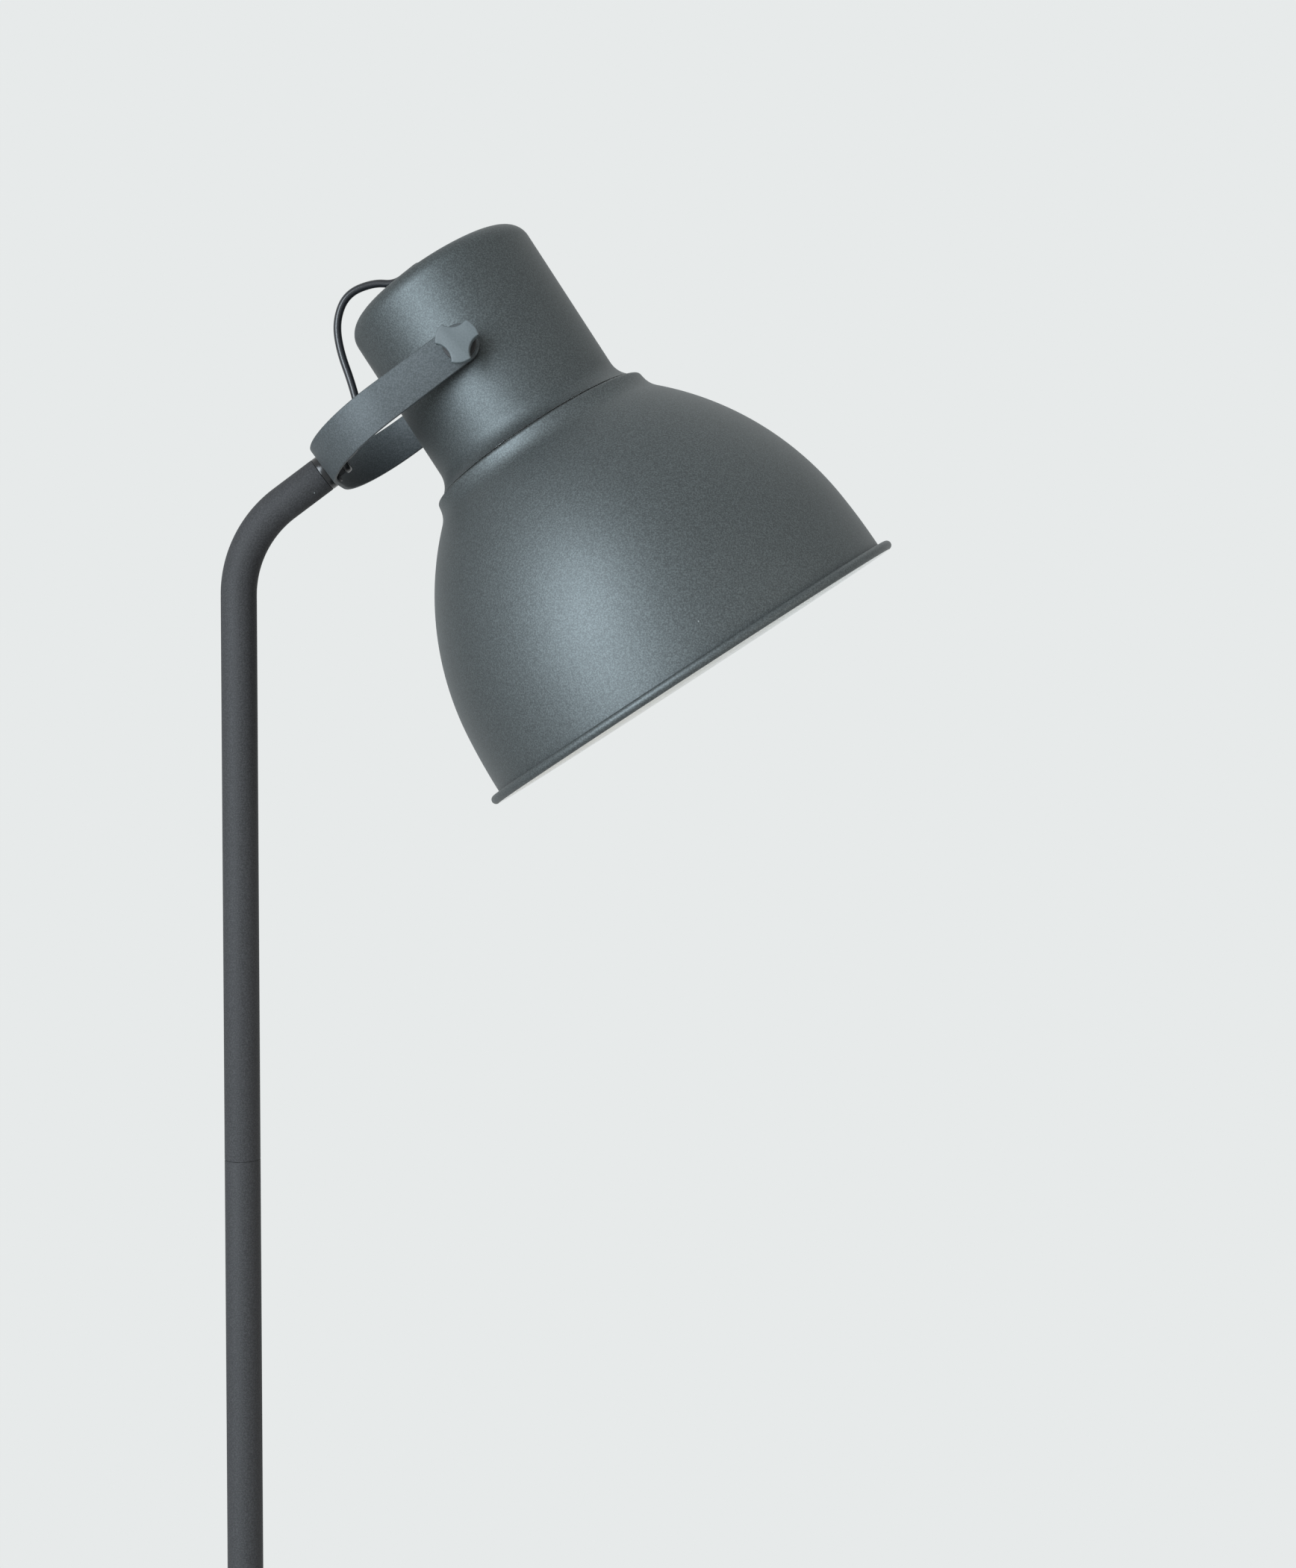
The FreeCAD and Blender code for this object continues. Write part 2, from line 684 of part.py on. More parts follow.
def make_yoke():
    # Flat strip bent into a U: local Z runs from the pole's end to the tilt pivot, local Y
    # across the arms
    body = doc.addObject("PartDesign::Body", "yoke_strip")
    inner_corner = "(yoke_corner - yoke_thickness)"
    corner_base = "(ring_thickness + yoke_corner)"
    top = "(%s + yoke_arm_width)" % pivot_reach
    strip = draw(new_sketch(body, "yoke_strip_outline", "YZ_Plane"), (
        ("yoke_corner - " + arm_outer, "ring_thickness", "yoke_corner", "left"),
        (arm_outer + " - yoke_corner", "ring_thickness"),
        (arm_outer, corner_base, "yoke_corner", "left"),
        (arm_outer, top),
        (arm_inner, top),
        (arm_inner, corner_base),
        (arm_inner + " - " + inner_corner, yoke_inner, inner_corner, "right"),
        (inner_corner + " - " + arm_inner, yoke_inner),
        ("-" + arm_inner, corner_base, inner_corner, "right"),
        ("-" + arm_inner, top),
        ("-" + arm_outer, top),
        ("-" + arm_outer, corner_base),
    ))
    pad = body.newObject("PartDesign::Pad", "yoke_strip_pad")
    pad.Profile = strip
    pad.SideType = "Symmetric"
    pad.setExpression("Length", formula("2 * yoke_base_width"))
    # Its outline seen along the pivot: a slight taper and round ends
    blank = doc.addObject("PartDesign::Body", "yoke_blank")
    base = "(yoke_base_width / 2)"
    arm = "(yoke_arm_width / 2)"
    side = draw(new_sketch(blank, "yoke_side_outline", "XZ_Plane"), (
        ("-" + base, "0"),
        (base, "0"),
        (arm, pivot_reach),
        ("0", "%s + %s" % (pivot_reach, arm), arm, "left"),
        ("-" + arm, pivot_reach, arm, "left"),
    ))
    pad = blank.newObject("PartDesign::Pad", "yoke_side_pad")
    pad.Profile = side
    pad.SideType = "Symmetric"
    pad.setExpression("Length", formula("2 * yoke_span"))
    shape = doc.addObject("Part::Common", "yoke_shape")
    shape.Base = body
    shape.Tool = blank
    swivel_hole = cylinder("yoke_swivel_hole", "tube_diameter / 2 + bore_gap", "yoke_corner")
    pivot_hole = cylinder("yoke_pivot_hole", "stud_diameter / 2 + bore_gap", "2 * yoke_span")
    pivot_hole.Placement.Rotation = FreeCAD.Rotation(FreeCAD.Vector(1, 0, 0), -90)
    shift(pivot_hole, "0", "-yoke_span", pivot_reach)
    holes = doc.addObject("Part::MultiFuse", "yoke_holes")
    holes.Shapes = [swivel_hole, pivot_hole]
    yoke = doc.addObject("Part::Cut", "yoke")
    yoke.Base = shape
    yoke.Tool = holes
    return finish(yoke, "yoke", swivel_place)


def make_shade():
    # Spun sheet shade with a rolled bead at its rim and a flange at its throat
    edge_z = "(seam_height - collar_edge)"
    edge_r = "(neck_radius - (%s - neck_height) * tan(collar_angle))" % edge_z
    steps = (
        # Inside, from the throat down to the rim
        ("throat_radius", "seam_height - shade_wall"),
        ("%s - collar_edge" % edge_r, "seam_height - shade_wall"),
        ("%s - shade_wall" % edge_r, edge_z, "collar_edge", "right"),
        ("neck_radius - shade_wall * cos(collar_angle)", "neck_height - shade_wall * sin(collar_angle)"),
        ("crown_top_radius - shade_wall * cos(crown_turn)",
         "crown_top_height - shade_wall * sin(crown_turn)", "neck_sweep + shade_wall", "left"),
        ("skirt_top_radius - shade_wall * cos(skirt_turn)",
         "skirt_top_height - shade_wall * sin(skirt_turn)", "crown_sweep - shade_wall", "right"),
        ("skirt_radius - shade_wall", "-skirt_drop", "skirt_sweep - shade_wall", "right"),
        ("skirt_radius - shade_wall", "-bead_radius"),
        # Round the bead
        ("rim_radius", "-bead_radius"),
        ("rim_radius + bead_radius", "0", "bead_radius", "left"),
        ("rim_radius", "bead_radius", "bead_radius", "left"),
        ("rim_radius - bead_radius * cos(30)", "bead_radius * sin(30)", "bead_radius", "left"),
        ("skirt_radius - skirt_sweep + sqrt(skirt_sweep ^ 2 - (bead_radius / 2 + skirt_drop) ^ 2)",
         "bead_radius * sin(30)"),
        # Outside, from the rim up to the collar
        ("skirt_top_radius", "skirt_top_height", "skirt_sweep", "left"),
        ("crown_top_radius", "crown_top_height", "crown_sweep", "left"),
        ("neck_radius", "neck_height", "neck_sweep", "right"),
        (edge_r, edge_z),
        ("%s - collar_edge" % edge_r, "seam_height", "collar_edge", "left"),
        ("throat_radius", "seam_height"),
    )
    body = turned("shade", head_place, steps)
    holes = []
    for x, y in circle_points("shade_screw_circle", "shade_screw_count"):
        holes.append((x, y, "shade_screw_diameter / 2 + screw_gap"))
    drill(body, "shade_screw_holes", "XY_Plane", holes)
    return body


def make_housing():
    # Drawn housing: flared foot on the shade's flange, straight wall, rounded top edge, low dome
    inner = "(housing_radius - housing_wall)"
    flare_centre = "(housing_radius + flare_radius)"
    flare_in = "(flare_radius + housing_wall)"
    corner_in = "(housing_corner - housing_wall)"
    flat = "(housing_radius - housing_corner)"
    dome = "((%s ^ 2 + dome_height ^ 2) / (2 * dome_height))" % flat
    corner_z = "(housing_height - housing_corner)"
    hole = "(grommet_neck / 2)"
    dome_in = "(%s - housing_wall)" % dome
    dome_centre = "(housing_height + dome_height - %s)" % dome
    straight_z = "(seam_height + flare_height)"
    foot_out = "%s - sqrt(flare_radius ^ 2 - flare_height ^ 2)" % flare_centre
    foot_in = "%s - sqrt(%s ^ 2 - flare_height ^ 2)" % (flare_centre, flare_in)
    body = turned("housing", head_place, (
        (foot_in, "seam_height", flare_in, "left"),
        (foot_out, "seam_height"),
        ("housing_radius", straight_z, "flare_radius", "right"),
        ("housing_radius", corner_z),
        (flat, "housing_height", "housing_corner", "left"),
        (hole, "%s + sqrt(%s ^ 2 - %s ^ 2)" % (dome_centre, dome, hole), dome, "left"),
        (hole, "%s + sqrt(%s ^ 2 - %s ^ 2)" % (dome_centre, dome_in, hole)),
        (flat, "%s + sqrt(%s ^ 2 - %s ^ 2)" % (dome_centre, dome_in, flat), dome_in, "right"),
        (inner, corner_z, corner_in, "right"),
        (inner, straight_z),
    ))
    drill(body, "housing_stud_holes", "XZ_Plane",
          [("-pivot_offset", "pivot_height", "stud_diameter / 2 + bore_gap")])
    return body


def make_top_grommet():
    # Rubber grommet in the housing's top, round the lead; local z = 0 is the housing's top edge
    upper = "(dome_height + slide_gap)"
    lower = "(dome_height - housing_wall - 2 * seat_gap)"
    bore = "(lead_diameter / 2 + bore_gap)"
    neck = "(grommet_neck / 2 - slide_gap)"
    flange = "(grommet_flange / 2)"
    turned("top_grommet", "%s * %s" % (head_place, place("0", "0", "housing_height")), (
        (bore, "%s - grommet_collar" % lower),
        ("grommet_inside / 2", "%s - grommet_collar" % lower),
        ("grommet_inside / 2", lower),
        (neck, lower),
        (neck, upper),
        (flange, upper),
        (flange, "%s + grommet_collar - grommet_round" % upper),
        (flange + " - grommet_round", "%s + grommet_collar" % upper, "grommet_round", "left"),
        (bore, "%s + grommet_collar" % upper),
    ))


def make_shade_fixing():
    # Ring fixed in the housing, with tapped holes for the screws through the shade's flange
    sleeve = "(housing_radius - housing_wall - slide_gap)"
    flange = "(seam_height + clamp_flange)"
    body = turned("clamp_ring", head_place, (
        ("throat_radius", "seam_height"),
        (sleeve, "seam_height"),
        (sleeve, "seam_height + clamp_height"),
        ("%s - clamp_wall" % sleeve, "seam_height + clamp_height"),
        ("%s - clamp_wall" % sleeve, flange),
        ("throat_radius", flange),
    ))
    holes = []
    screws = []
    underside = "(seam_height - shade_wall)"
    for index, (x, y) in enumerate(circle_points("shade_screw_circle", "shade_screw_count")):
        holes.append((x, y, "shade_screw_diameter / 2 + slide_gap"))
        cap = cylinder("shade_screw_head_%d" % index, "shade_screw_head / 2",
                       "shade_screw_head_height", x=x, y=y,
                       z="%s - shade_screw_head_height" % underside)
        shank = cylinder("shade_screw_shank_%d" % index, "shade_screw_diameter / 2",
                         "shade_screw_length", x=x, y=y, z=underside)
        screw = doc.addObject("Part::Fuse", "shade_screw_%d" % index)
        screw.Base = cap
        screw.Tool = shank
        screws.append(screw)
    drill(body, "clamp_ring_taps", "XY_Plane", holes)
    group("shade_screws", head_place, screws)


def make_inner_bracket():
    # Strip across the housing: a plate for the lampholder and an ear at each side for the studs
    rear = "(-pivot_offset - bracket_width / 2)"
    depth = "(bracket_width / 2 + pivot_offset + bracket_front)"
    top = "(bracket_height + bracket_wall)"
    bottom = "(pivot_height - bracket_tail)"
    plate = doc.addObject("Part::Box", "bracket_plate")
    bind(plate, Length=depth, Width="2 * bracket_half_span", Height="bracket_wall")
    shift(plate, rear, "-bracket_half_span", "bracket_height")
    blanks = [plate]
    for name, y in (("near", "-bracket_half_span"), ("far", "bracket_half_span - bracket_wall")):
        ear = doc.addObject("Part::Box", "bracket_ear_" + name)
        bind(ear, Length=depth, Width="bracket_wall", Height="%s - %s" % (top, bottom))
        blanks.append(shift(ear, rear, y, bottom))
    strip = doc.addObject("Part::MultiFuse", "bracket_strip")
    strip.Shapes = blanks
    nipple_hole = cylinder("bracket_nipple_hole", "nipple_diameter / 2 + slide_gap",
                           "2 * bracket_wall", z="bracket_height - bracket_wall / 2")
    stud_hole = cylinder("bracket_stud_hole", "stud_diameter / 2 + bore_gap", "yoke_span")
    stud_hole.Placement.Rotation = FreeCAD.Rotation(FreeCAD.Vector(1, 0, 0), -90)
    shift(stud_hole, "-pivot_offset", "-yoke_span / 2", "pivot_height")
    holes = doc.addObject("Part::MultiFuse", "bracket_holes")
    holes.Shapes = [nipple_hole, stud_hole]
    bracket = doc.addObject("Part::Cut", "inner_bracket")
    bracket.Base = strip
    bracket.Tool = holes
    finish(bracket, "inner_bracket", head_place)


def make_lampholder():
    # Everything here is on the head's own axis; heights count from the rim's plane
    turned("lamp_nipple", head_place,
           tube_steps("nipple_bore / 2", "nipple_diameter / 2", nipple_end, nipple_top))
    hex_nut("nipple_nut", "%s * %s" % (head_place, place("0", "0", "bracket_height + bracket_wall")),
            "nipple_nut_flats", "nipple_nut_height", "nipple_diameter / 2 + slide_gap")
    mouth = "(bracket_height - holder_length)"
    outer = "(holder_diameter / 2)"
    cavity = "(cap_diameter / 2 + cap_play)"
    thread = "(nipple_diameter / 2 + slide_gap)"
    turned("lampholder", head_place, (
        ("0", "%s + holder_depth" % mouth),
        (cavity, "%s + holder_depth" % mouth),
        (cavity, mouth),
        ("%s - holder_chamfer" % outer, mouth),
        (outer, "%s + holder_chamfer" % mouth),
        (outer, "bracket_height - holder_round"),
        ("%s - holder_round" % outer, "bracket_height", "holder_round", "left"),
        (thread, "bracket_height"),
        (thread, nipple_end),
        ("0", nipple_end),
    ))
    # Bulb: a metal cap in the holder and a thin glass envelope below it
    cap_top = "(%s + holder_depth - cap_clearance)" % mouth
    cap_foot = "(%s - cap_length)" % cap_top
    shell = "(cap_diameter / 2)"
    turned("bulb_cap", head_place, (
        ("0", "%s - cap_dish" % cap_top),
        ("%s - glass_wall" % shell, "%s - cap_shoulder - glass_wall" % cap_top),
        ("%s - glass_wall" % shell, cap_foot),
        (shell, cap_foot),
        (shell, "%s - cap_shoulder" % cap_top),
        ("%s / 2" % shell, cap_top),
        ("0", cap_top),
    ))
    ball = "(bulb_diameter / 2)"
    centre = "(%s - bulb_drop + %s)" % (cap_foot, ball)
    neck = "(%s - glass_wall - slide_gap)" % shell
    rise = "(bulb_drop - %s - glass_neck)" % ball
    waist = "((%s ^ 2 + %s ^ 2 - %s ^ 2) / (2 * (%s - %s)))" % (neck, rise, ball, ball, neck)
    lean_cos = "((%s + %s) / (%s + %s))" % (neck, waist, ball, waist)
    lean_sin = "(%s / (%s + %s))" % (rise, ball, waist)
    inner_ball = "(%s - glass_wall)" % ball
    inner_waist = "(%s + glass_wall)" % waist
    turned("bulb_glass", head_place, (
        ("0", "%s - %s" % (centre, ball)),
        ("%s * %s" % (ball, lean_cos), "%s + %s * %s" % (centre, ball, lean_sin), ball, "left"),
        (neck, "%s + %s" % (centre, rise), waist, "right"),
        (neck, "%s + glass_lap" % cap_foot),
        ("%s - glass_wall" % neck, "%s + glass_lap" % cap_foot),
        ("%s - glass_wall" % neck, "%s + %s" % (centre, rise)),
        ("%s * %s" % (inner_ball, lean_cos), "%s + %s * %s" % (centre, inner_ball, lean_sin),
         inner_waist, "left"),
        ("0", "%s - %s" % (centre, inner_ball), inner_ball, "right"),
    ))


def make_pivot_side(side):
    # Spacer, washer, stud and knob of one side, on the tilt axis; the knob clamps the arm
    # between the spacer and the washer
    frame = place(pivot_x, "0", pivot_z, about_x, side_turn[side])
    spacer = cylinder(side + "_spacer_blank", "spacer_diameter / 2",
                      "%s - seat_gap - housing_radius / 2" % arm_inner)
    spacer.Placement.Rotation = FreeCAD.Rotation(FreeCAD.Vector(1, 0, 0), -90 * side_sign[side])
    shift(spacer, "-pivot_offset", "%d * housing_radius / 2" % side_sign[side], "pivot_height")
    bore = cylinder(side + "_spacer_bore", "stud_diameter / 2 + bore_gap", "yoke_span")
    bore.Placement.Rotation = FreeCAD.Rotation(FreeCAD.Vector(1, 0, 0), -90)
    shift(bore, "-pivot_offset", "-yoke_span / 2", "pivot_height")
    saddle = cylinder(side + "_spacer_saddle", "housing_radius + seat_gap", "housing_height")
    cutters = doc.addObject("Part::MultiFuse", side + "_spacer_cutters")
    cutters.Shapes = [bore, saddle]
    cut = doc.addObject("Part::Cut", side + "_spacer")
    cut.Base = spacer
    cut.Tool = cutters
    finish(cut, side + "_spacer", head_place)

    turned(side + "_washer", frame,
           tube_steps("stud_diameter / 2 + bore_gap", "knob_washer_diameter / 2", arm_outer,
                      "%s + knob_washer_thickness" % arm_outer, "edge_break"))
    nut_back = "(bracket_half_span - bracket_wall - bracket_nut_height)"
    stud_end = "(%s + stud_depth)" % knob_base
    stud = cylinder(side + "_stud", "stud_diameter / 2",
                    "%s - %s + stud_overhang" % (stud_end, nut_back))
    finish(stud, side + "_stud", "%s * %s" % (frame, place("0", "0", "%s - stud_overhang" % nut_back)))

    # Knob: a three-lobed plate on a round hub, with a blind bore for the stud
    body = doc.addObject("PartDesign::Body", side + "_knob_plate")
    half_lobe = "lobe_width_angle / 2"
    steps = []
    for index in range(3):
        middle = "(lobe_angle + %d)" % (120 * index)
        steps.append(("knob_radius * cos(%s - %s)" % (middle, half_lobe),
                      "knob_radius * sin(%s - %s)" % (middle, half_lobe), "scallop_radius", "right"))
        steps.append(("knob_radius * cos(%s + %s)" % (middle, half_lobe),
                      "knob_radius * sin(%s + %s)" % (middle, half_lobe), "knob_radius", "left"))
    sketch = draw(new_sketch(body, side + "_knob_outline", "XY_Plane"), steps)
    pad = body.newObject("PartDesign::Pad", side + "_knob_pad")
    pad.Profile = sketch
    pad.setExpression("Length", formula("knob_thickness"))
    shift(body, z=knob_base)
    hub = cylinder(side + "_knob_hub", "knob_hub_diameter / 2", "knob_hub_height + hub_overlap",
                   z="%s + knob_washer_thickness" % arm_outer)
    hole = cylinder(side + "_knob_bore", "stud_diameter / 2 + slide_gap",
                    "%s - %s" % (stud_end, arm_outer), z=arm_outer)
    solid = doc.addObject("Part::Fuse", side + "_knob_solid")
    solid.Base = body
    solid.Tool = hub
    knob = doc.addObject("Part::Cut", side + "_knob")
    knob.Base = solid
    knob.Tool = hole
    finish(knob, side + "_knob", frame)


def make_bracket_nuts():
    # The two nuts that the studs screw into, on the inner faces of the bracket's ears
    nuts = []
    for side in ("near", "far"):
        nut = hex_nut(side + "_bracket_nut", None, "bracket_nut_flats", "bracket_nut_height",
                      "stud_diameter / 2 + slide_gap")
        nut.setExpression("Placement", formula("%s * %s" % (
            place("-pivot_offset", "0", "pivot_height", about_x, side_turn[side]),
            place("0", "0", "bracket_half_span - bracket_wall - bracket_nut_height"))))
        nuts.append(nut)
    group("bracket_nuts", head_place, nuts)


def make_leads():
    # One round lead in three stretches: from the base gland up the pole to the swivel's bush,
    # free from there to the grommet in the housing's top, and inside the housing
    swivel = sheet.evalExpression(formula(swivel_place))
    head = sheet.evalExpression(formula(head_place))

    def on_swivel(along, above):
        return swivel.multVec(FreeCAD.Vector(-value(above), 0, value(along)))

    def in_head(behind, height):
        return head.multVec(FreeCAD.Vector(-value(behind), 0, value(height)))

    pole_x = value("-pole_setback")
    low = value("gland_height")
    bush_face = on_swivel(bush_end, "0")
    lead("pole_cord", (
        (value("-base_diameter / 2 - gland_outside"), 0, low),
        (pole_x, 0, low),
        (pole_x, 0, value(bend_corner)),
        bush_face,
    ), radii=(value("lead_bend"), value("bend_radius")))
    grommet_top = in_head("0", "housing_height + dome_height + slide_gap + grommet_collar")
    route = [bush_face, on_swivel("%s + lead_straight" % bush_end, "0")]
    for corner in ("loop_1", "loop_2", "loop_3", "loop_4"):
        route.append(on_swivel(corner + "_along", corner + "_above"))
    for corner in ("loop_5", "loop_6", "loop_7", "loop_8"):
        route.append(in_head(corner + "_behind", "housing_height + %s_over" % corner))
    route.append(in_head("0", "housing_height + loop_9_over"))
    route.append(grommet_top)
    lead("head_cord", route)
    lead("inner_lead", (grommet_top, in_head("0", nipple_end)))


def make_base():
    make_base_cover()
    make_base_weight()
    make_base_pads()
    make_foot_plate()
    make_foot_screws()
    make_base_gland()


make_base()
make_pole()
make_swivel()
make_yoke()
make_shade()
make_housing()
make_top_grommet()
make_shade_fixing()
make_inner_bracket()
make_lampholder()
make_bracket_nuts()
for side in ("near", "far"):
    make_pivot_side(side)
doc.recompute()
make_leads()
doc.recompute()

for item in doc.Objects:
    if "Invalid" in item.State or "Error" in item.State:
        raise ValueError("%s is %s" % (item.Label, item.State))
for piece in parts:
    if piece.Shape.isNull() or not piece.Shape.isValid():
        raise ValueError("%s has no valid shape" % piece.Label)

os.makedirs("parts", exist_ok=True)
for piece in parts:
    piece.Shape.exportStep("parts/%s.step" % piece.Label)
    print("%-16s %d solid(s) %10.1f mm3" % (piece.Label, len(piece.Shape.Solids), piece.Shape.Volume))
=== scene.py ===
import json
import math

import bmesh
import bpy
from mathutils import Matrix, Vector


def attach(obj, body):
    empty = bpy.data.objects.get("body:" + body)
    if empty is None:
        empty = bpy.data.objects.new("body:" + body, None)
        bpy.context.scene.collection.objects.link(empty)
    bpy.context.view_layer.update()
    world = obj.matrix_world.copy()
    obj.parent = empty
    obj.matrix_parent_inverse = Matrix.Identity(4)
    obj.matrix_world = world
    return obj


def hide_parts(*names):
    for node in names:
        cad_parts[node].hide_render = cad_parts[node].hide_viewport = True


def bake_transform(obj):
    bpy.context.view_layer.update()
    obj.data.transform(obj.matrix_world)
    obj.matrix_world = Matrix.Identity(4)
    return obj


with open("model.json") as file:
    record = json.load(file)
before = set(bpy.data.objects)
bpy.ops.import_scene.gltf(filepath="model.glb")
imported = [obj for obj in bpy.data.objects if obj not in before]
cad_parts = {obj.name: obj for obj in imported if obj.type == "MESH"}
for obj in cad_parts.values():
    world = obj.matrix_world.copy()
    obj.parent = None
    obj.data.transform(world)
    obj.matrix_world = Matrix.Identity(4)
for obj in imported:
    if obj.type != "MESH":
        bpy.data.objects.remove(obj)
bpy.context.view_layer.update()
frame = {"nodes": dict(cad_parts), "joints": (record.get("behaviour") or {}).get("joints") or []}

mm = 0.001

# Where things sit, read from the lamp's own joints: pole end, tilt pivot, and their axes
joints = {joint["name"]: joint for joint in frame["joints"]}
poleEnd = Vector(joints["yoke_swivel"]["pos_m"])
poleAim = Vector(joints["yoke_swivel"]["axis"]).normalized()
pivot = Vector(joints["head_tilt"]["pos_m"])

headSizes = {
    "lean": 33.03,            # degrees from plumb, towards the light side
    "pivotHeight": 248.5,     # from the rim's plane up to the tilt pivot
    "pivotBehind": 9.4,       # the pivot lies this far behind the head's own axis
}

poleX = -60 * mm
sideOut = {"near": -1, "far": 1}


def frameFrom(origin, across, up):
    # A matrix whose X, Y and Z are across, up x across and up, at the origin given
    side = up.cross(across)
    return Matrix((
        (across.x, side.x, up.x, origin.x),
        (across.y, side.y, up.y, origin.y),
        (across.z, side.z, up.z, origin.z),
        (0, 0, 0, 1),
    ))


lean = math.radians(headSizes["lean"])
headUp = Vector((-math.sin(lean), 0, math.cos(lean)))
headAcross = Vector((math.cos(lean), 0, math.sin(lean)))
rimCentre = pivot + headAcross * headSizes["pivotBehind"] * mm - headUp * headSizes["pivotHeight"] * mm
headPlace = frameFrom(rimCentre, headAcross, headUp)
polePlace = Matrix.Translation((poleX, 0, 0))
endPlace = frameFrom(poleEnd, Vector((poleAim.z, 0, -poleAim.x)), poleAim)
basePlace = Matrix.Identity(4)


def sidePlace(side):
    # On the tilt axis, with Z pointing away from the head on that side
    return frameFrom(pivot, Vector((1, 0, 0)), Vector((0, sideOut[side], 0)))


# Colour and shader helpers

def linearFromHex(code):
    values = [int(code[i:i + 2], 16) / 255 for i in (1, 3, 5)]
    return [v / 12.92 if v <= 0.04045 else ((v + 0.055) / 1.055) ** 2.4 for v in values] + [1.0]


def addNode(owner, kind, links=None, settings=None, **inputs):
    # One node of a material or the world: settings are its properties, inputs its values,
    # links its (socket: output)
    node = owner.node_tree.nodes.new(kind)
    for key, value in (settings or {}).items():
        setattr(node, key, value)
    for key, value in inputs.items():
        node.inputs[key.replace("_", " ")].default_value = value
    for socket, output in (links or {}).items():
        owner.node_tree.links.new(output, node.inputs[socket])
    return node


def newMaterial(name):
    material = bpy.data.materials.new(name)
    material.use_nodes = True
    nodes = material.node_tree.nodes
    nodes.remove(nodes["Principled BSDF"])
    return material


def finishMaterial(material, shader):
    output = material.node_tree.nodes["Material Output"]
    material.node_tree.links.new(shader.outputs[0], output.inputs["Surface"])
    return material


def perMm(size):
    # A texture's scale, in cells for each metre, from the real size of one cell in mm
    return 1 / (size * mm)


# Powder coat: baked polyester with fine metal flake, sprayed and fused. It scatters a very broad
# soft highlight, with a tiny orange-peel relief, a salt-and-pepper grain and a few pale specks
# where grit or a knock broke the skin.
powderCoat = {
    "base": "#525758", "dark": "#484c4d", "light": "#5f6566", "speck": "#8b9091",
    "grain": 0.9,        # mm; the real grain is about 0.3 and wouldn't show
    "peel": 1.8,         # mm between the bumps of the orange peel
    "cloud": 60,         # mm; very faint patches from uneven spraying
    "speckSpacing": 34, "speckSize": 0.013,    # mm between places for a speck; size in spacings
    "metallic": 0.85, "roughness": 0.55, "specular": 0.5, "relief": 0.04,
    "unevenness": 0.06,  # how far the roughness strays either way
}
# The same paint in darker copies: the housing can and the yoke are painted darker, as painted shade
# where less light reaches them. On the yoke and the pole it is duller, and on the pole darker still
housingShadedPowderCoat = dict(powderCoat, base="#4c5152", dark="#434748", light="#585e5f")
yokeShadedPowderCoat = dict(powderCoat, base="#44494b", dark="#3b4041", light="#4f5456",
                      metallic=0.5, roughness=0.6)
polePowderCoat = dict(powderCoat, base="#2f2f30", dark="#272728", light="#39393a",
                      metallic=0.0, roughness=0.7, specular=0.3)


def makePowderCoat(name, values):
    material = newMaterial(name)
    coords = addNode(material, "ShaderNodeTexCoord").outputs["Object"]
    grain = addNode(material, "ShaderNodeTexNoise", {"Vector": coords},
                    Scale=perMm(values["grain"]), Detail=2.0, Roughness=0.6)
    cloud = addNode(material, "ShaderNodeTexNoise", {"Vector": coords},
                    Scale=perMm(values["cloud"]), Detail=3.0)
    speckle = addNode(material, "ShaderNodeValToRGB", {"Fac": grain.outputs["Fac"]})
    ramp = speckle.color_ramp
    ramp.elements[0].position = 0.36
    ramp.elements[0].color = linearFromHex(values["dark"])
    ramp.elements[1].position = 0.64
    ramp.elements[1].color = linearFromHex(values["light"])
    middle = ramp.elements.new(0.5)
    middle.color = linearFromHex(values["base"])
    patch = addNode(material, "ShaderNodeMapRange", {"Value": cloud.outputs["Fac"]},
                    To_Min=0.94, To_Max=1.05)
    shaded = addNode(material, "ShaderNodeVectorMath",
                     {0: speckle.outputs["Color"], "Scale": patch.outputs["Result"]},
                     {"operation": "SCALE"})
    places = addNode(material, "ShaderNodeTexVoronoi", {"Vector": coords},
                     Scale=perMm(values["speckSpacing"]))
    near = addNode(material, "ShaderNodeMath", {0: places.outputs["Distance"]},
                   {"operation": "LESS_THAN"})
    near.inputs[1].default_value = values["speckSize"]
    chipped = addNode(material, "ShaderNodeMix",
                      {"Factor": near.outputs["Value"], 6: shaded.outputs["Vector"]},
                      {"data_type": "RGBA"})
    chipped.inputs[7].default_value = linearFromHex(values["speck"])
    rough = addNode(material, "ShaderNodeMapRange", {"Value": grain.outputs["Fac"]},
                    To_Min=values["roughness"] - values["unevenness"],
                    To_Max=values["roughness"] + values["unevenness"])
    peel = addNode(material, "ShaderNodeTexNoise", {"Vector": coords},
                   Scale=perMm(values["peel"]), Detail=1.0)
    bump = addNode(material, "ShaderNodeBump", {"Height": peel.outputs["Fac"]},
                   Strength=values["relief"], Distance=0.3 * mm)
    shader = addNode(material, "ShaderNodeBsdfPrincipled", {
        "Base Color": chipped.outputs[2], "Roughness": rough.outputs["Result"],
        "Normal": bump.outputs["Normal"]},
        Metallic=values["metallic"], Specular_IOR_Level=values["specular"])
    return finishMaterial(material, shader)


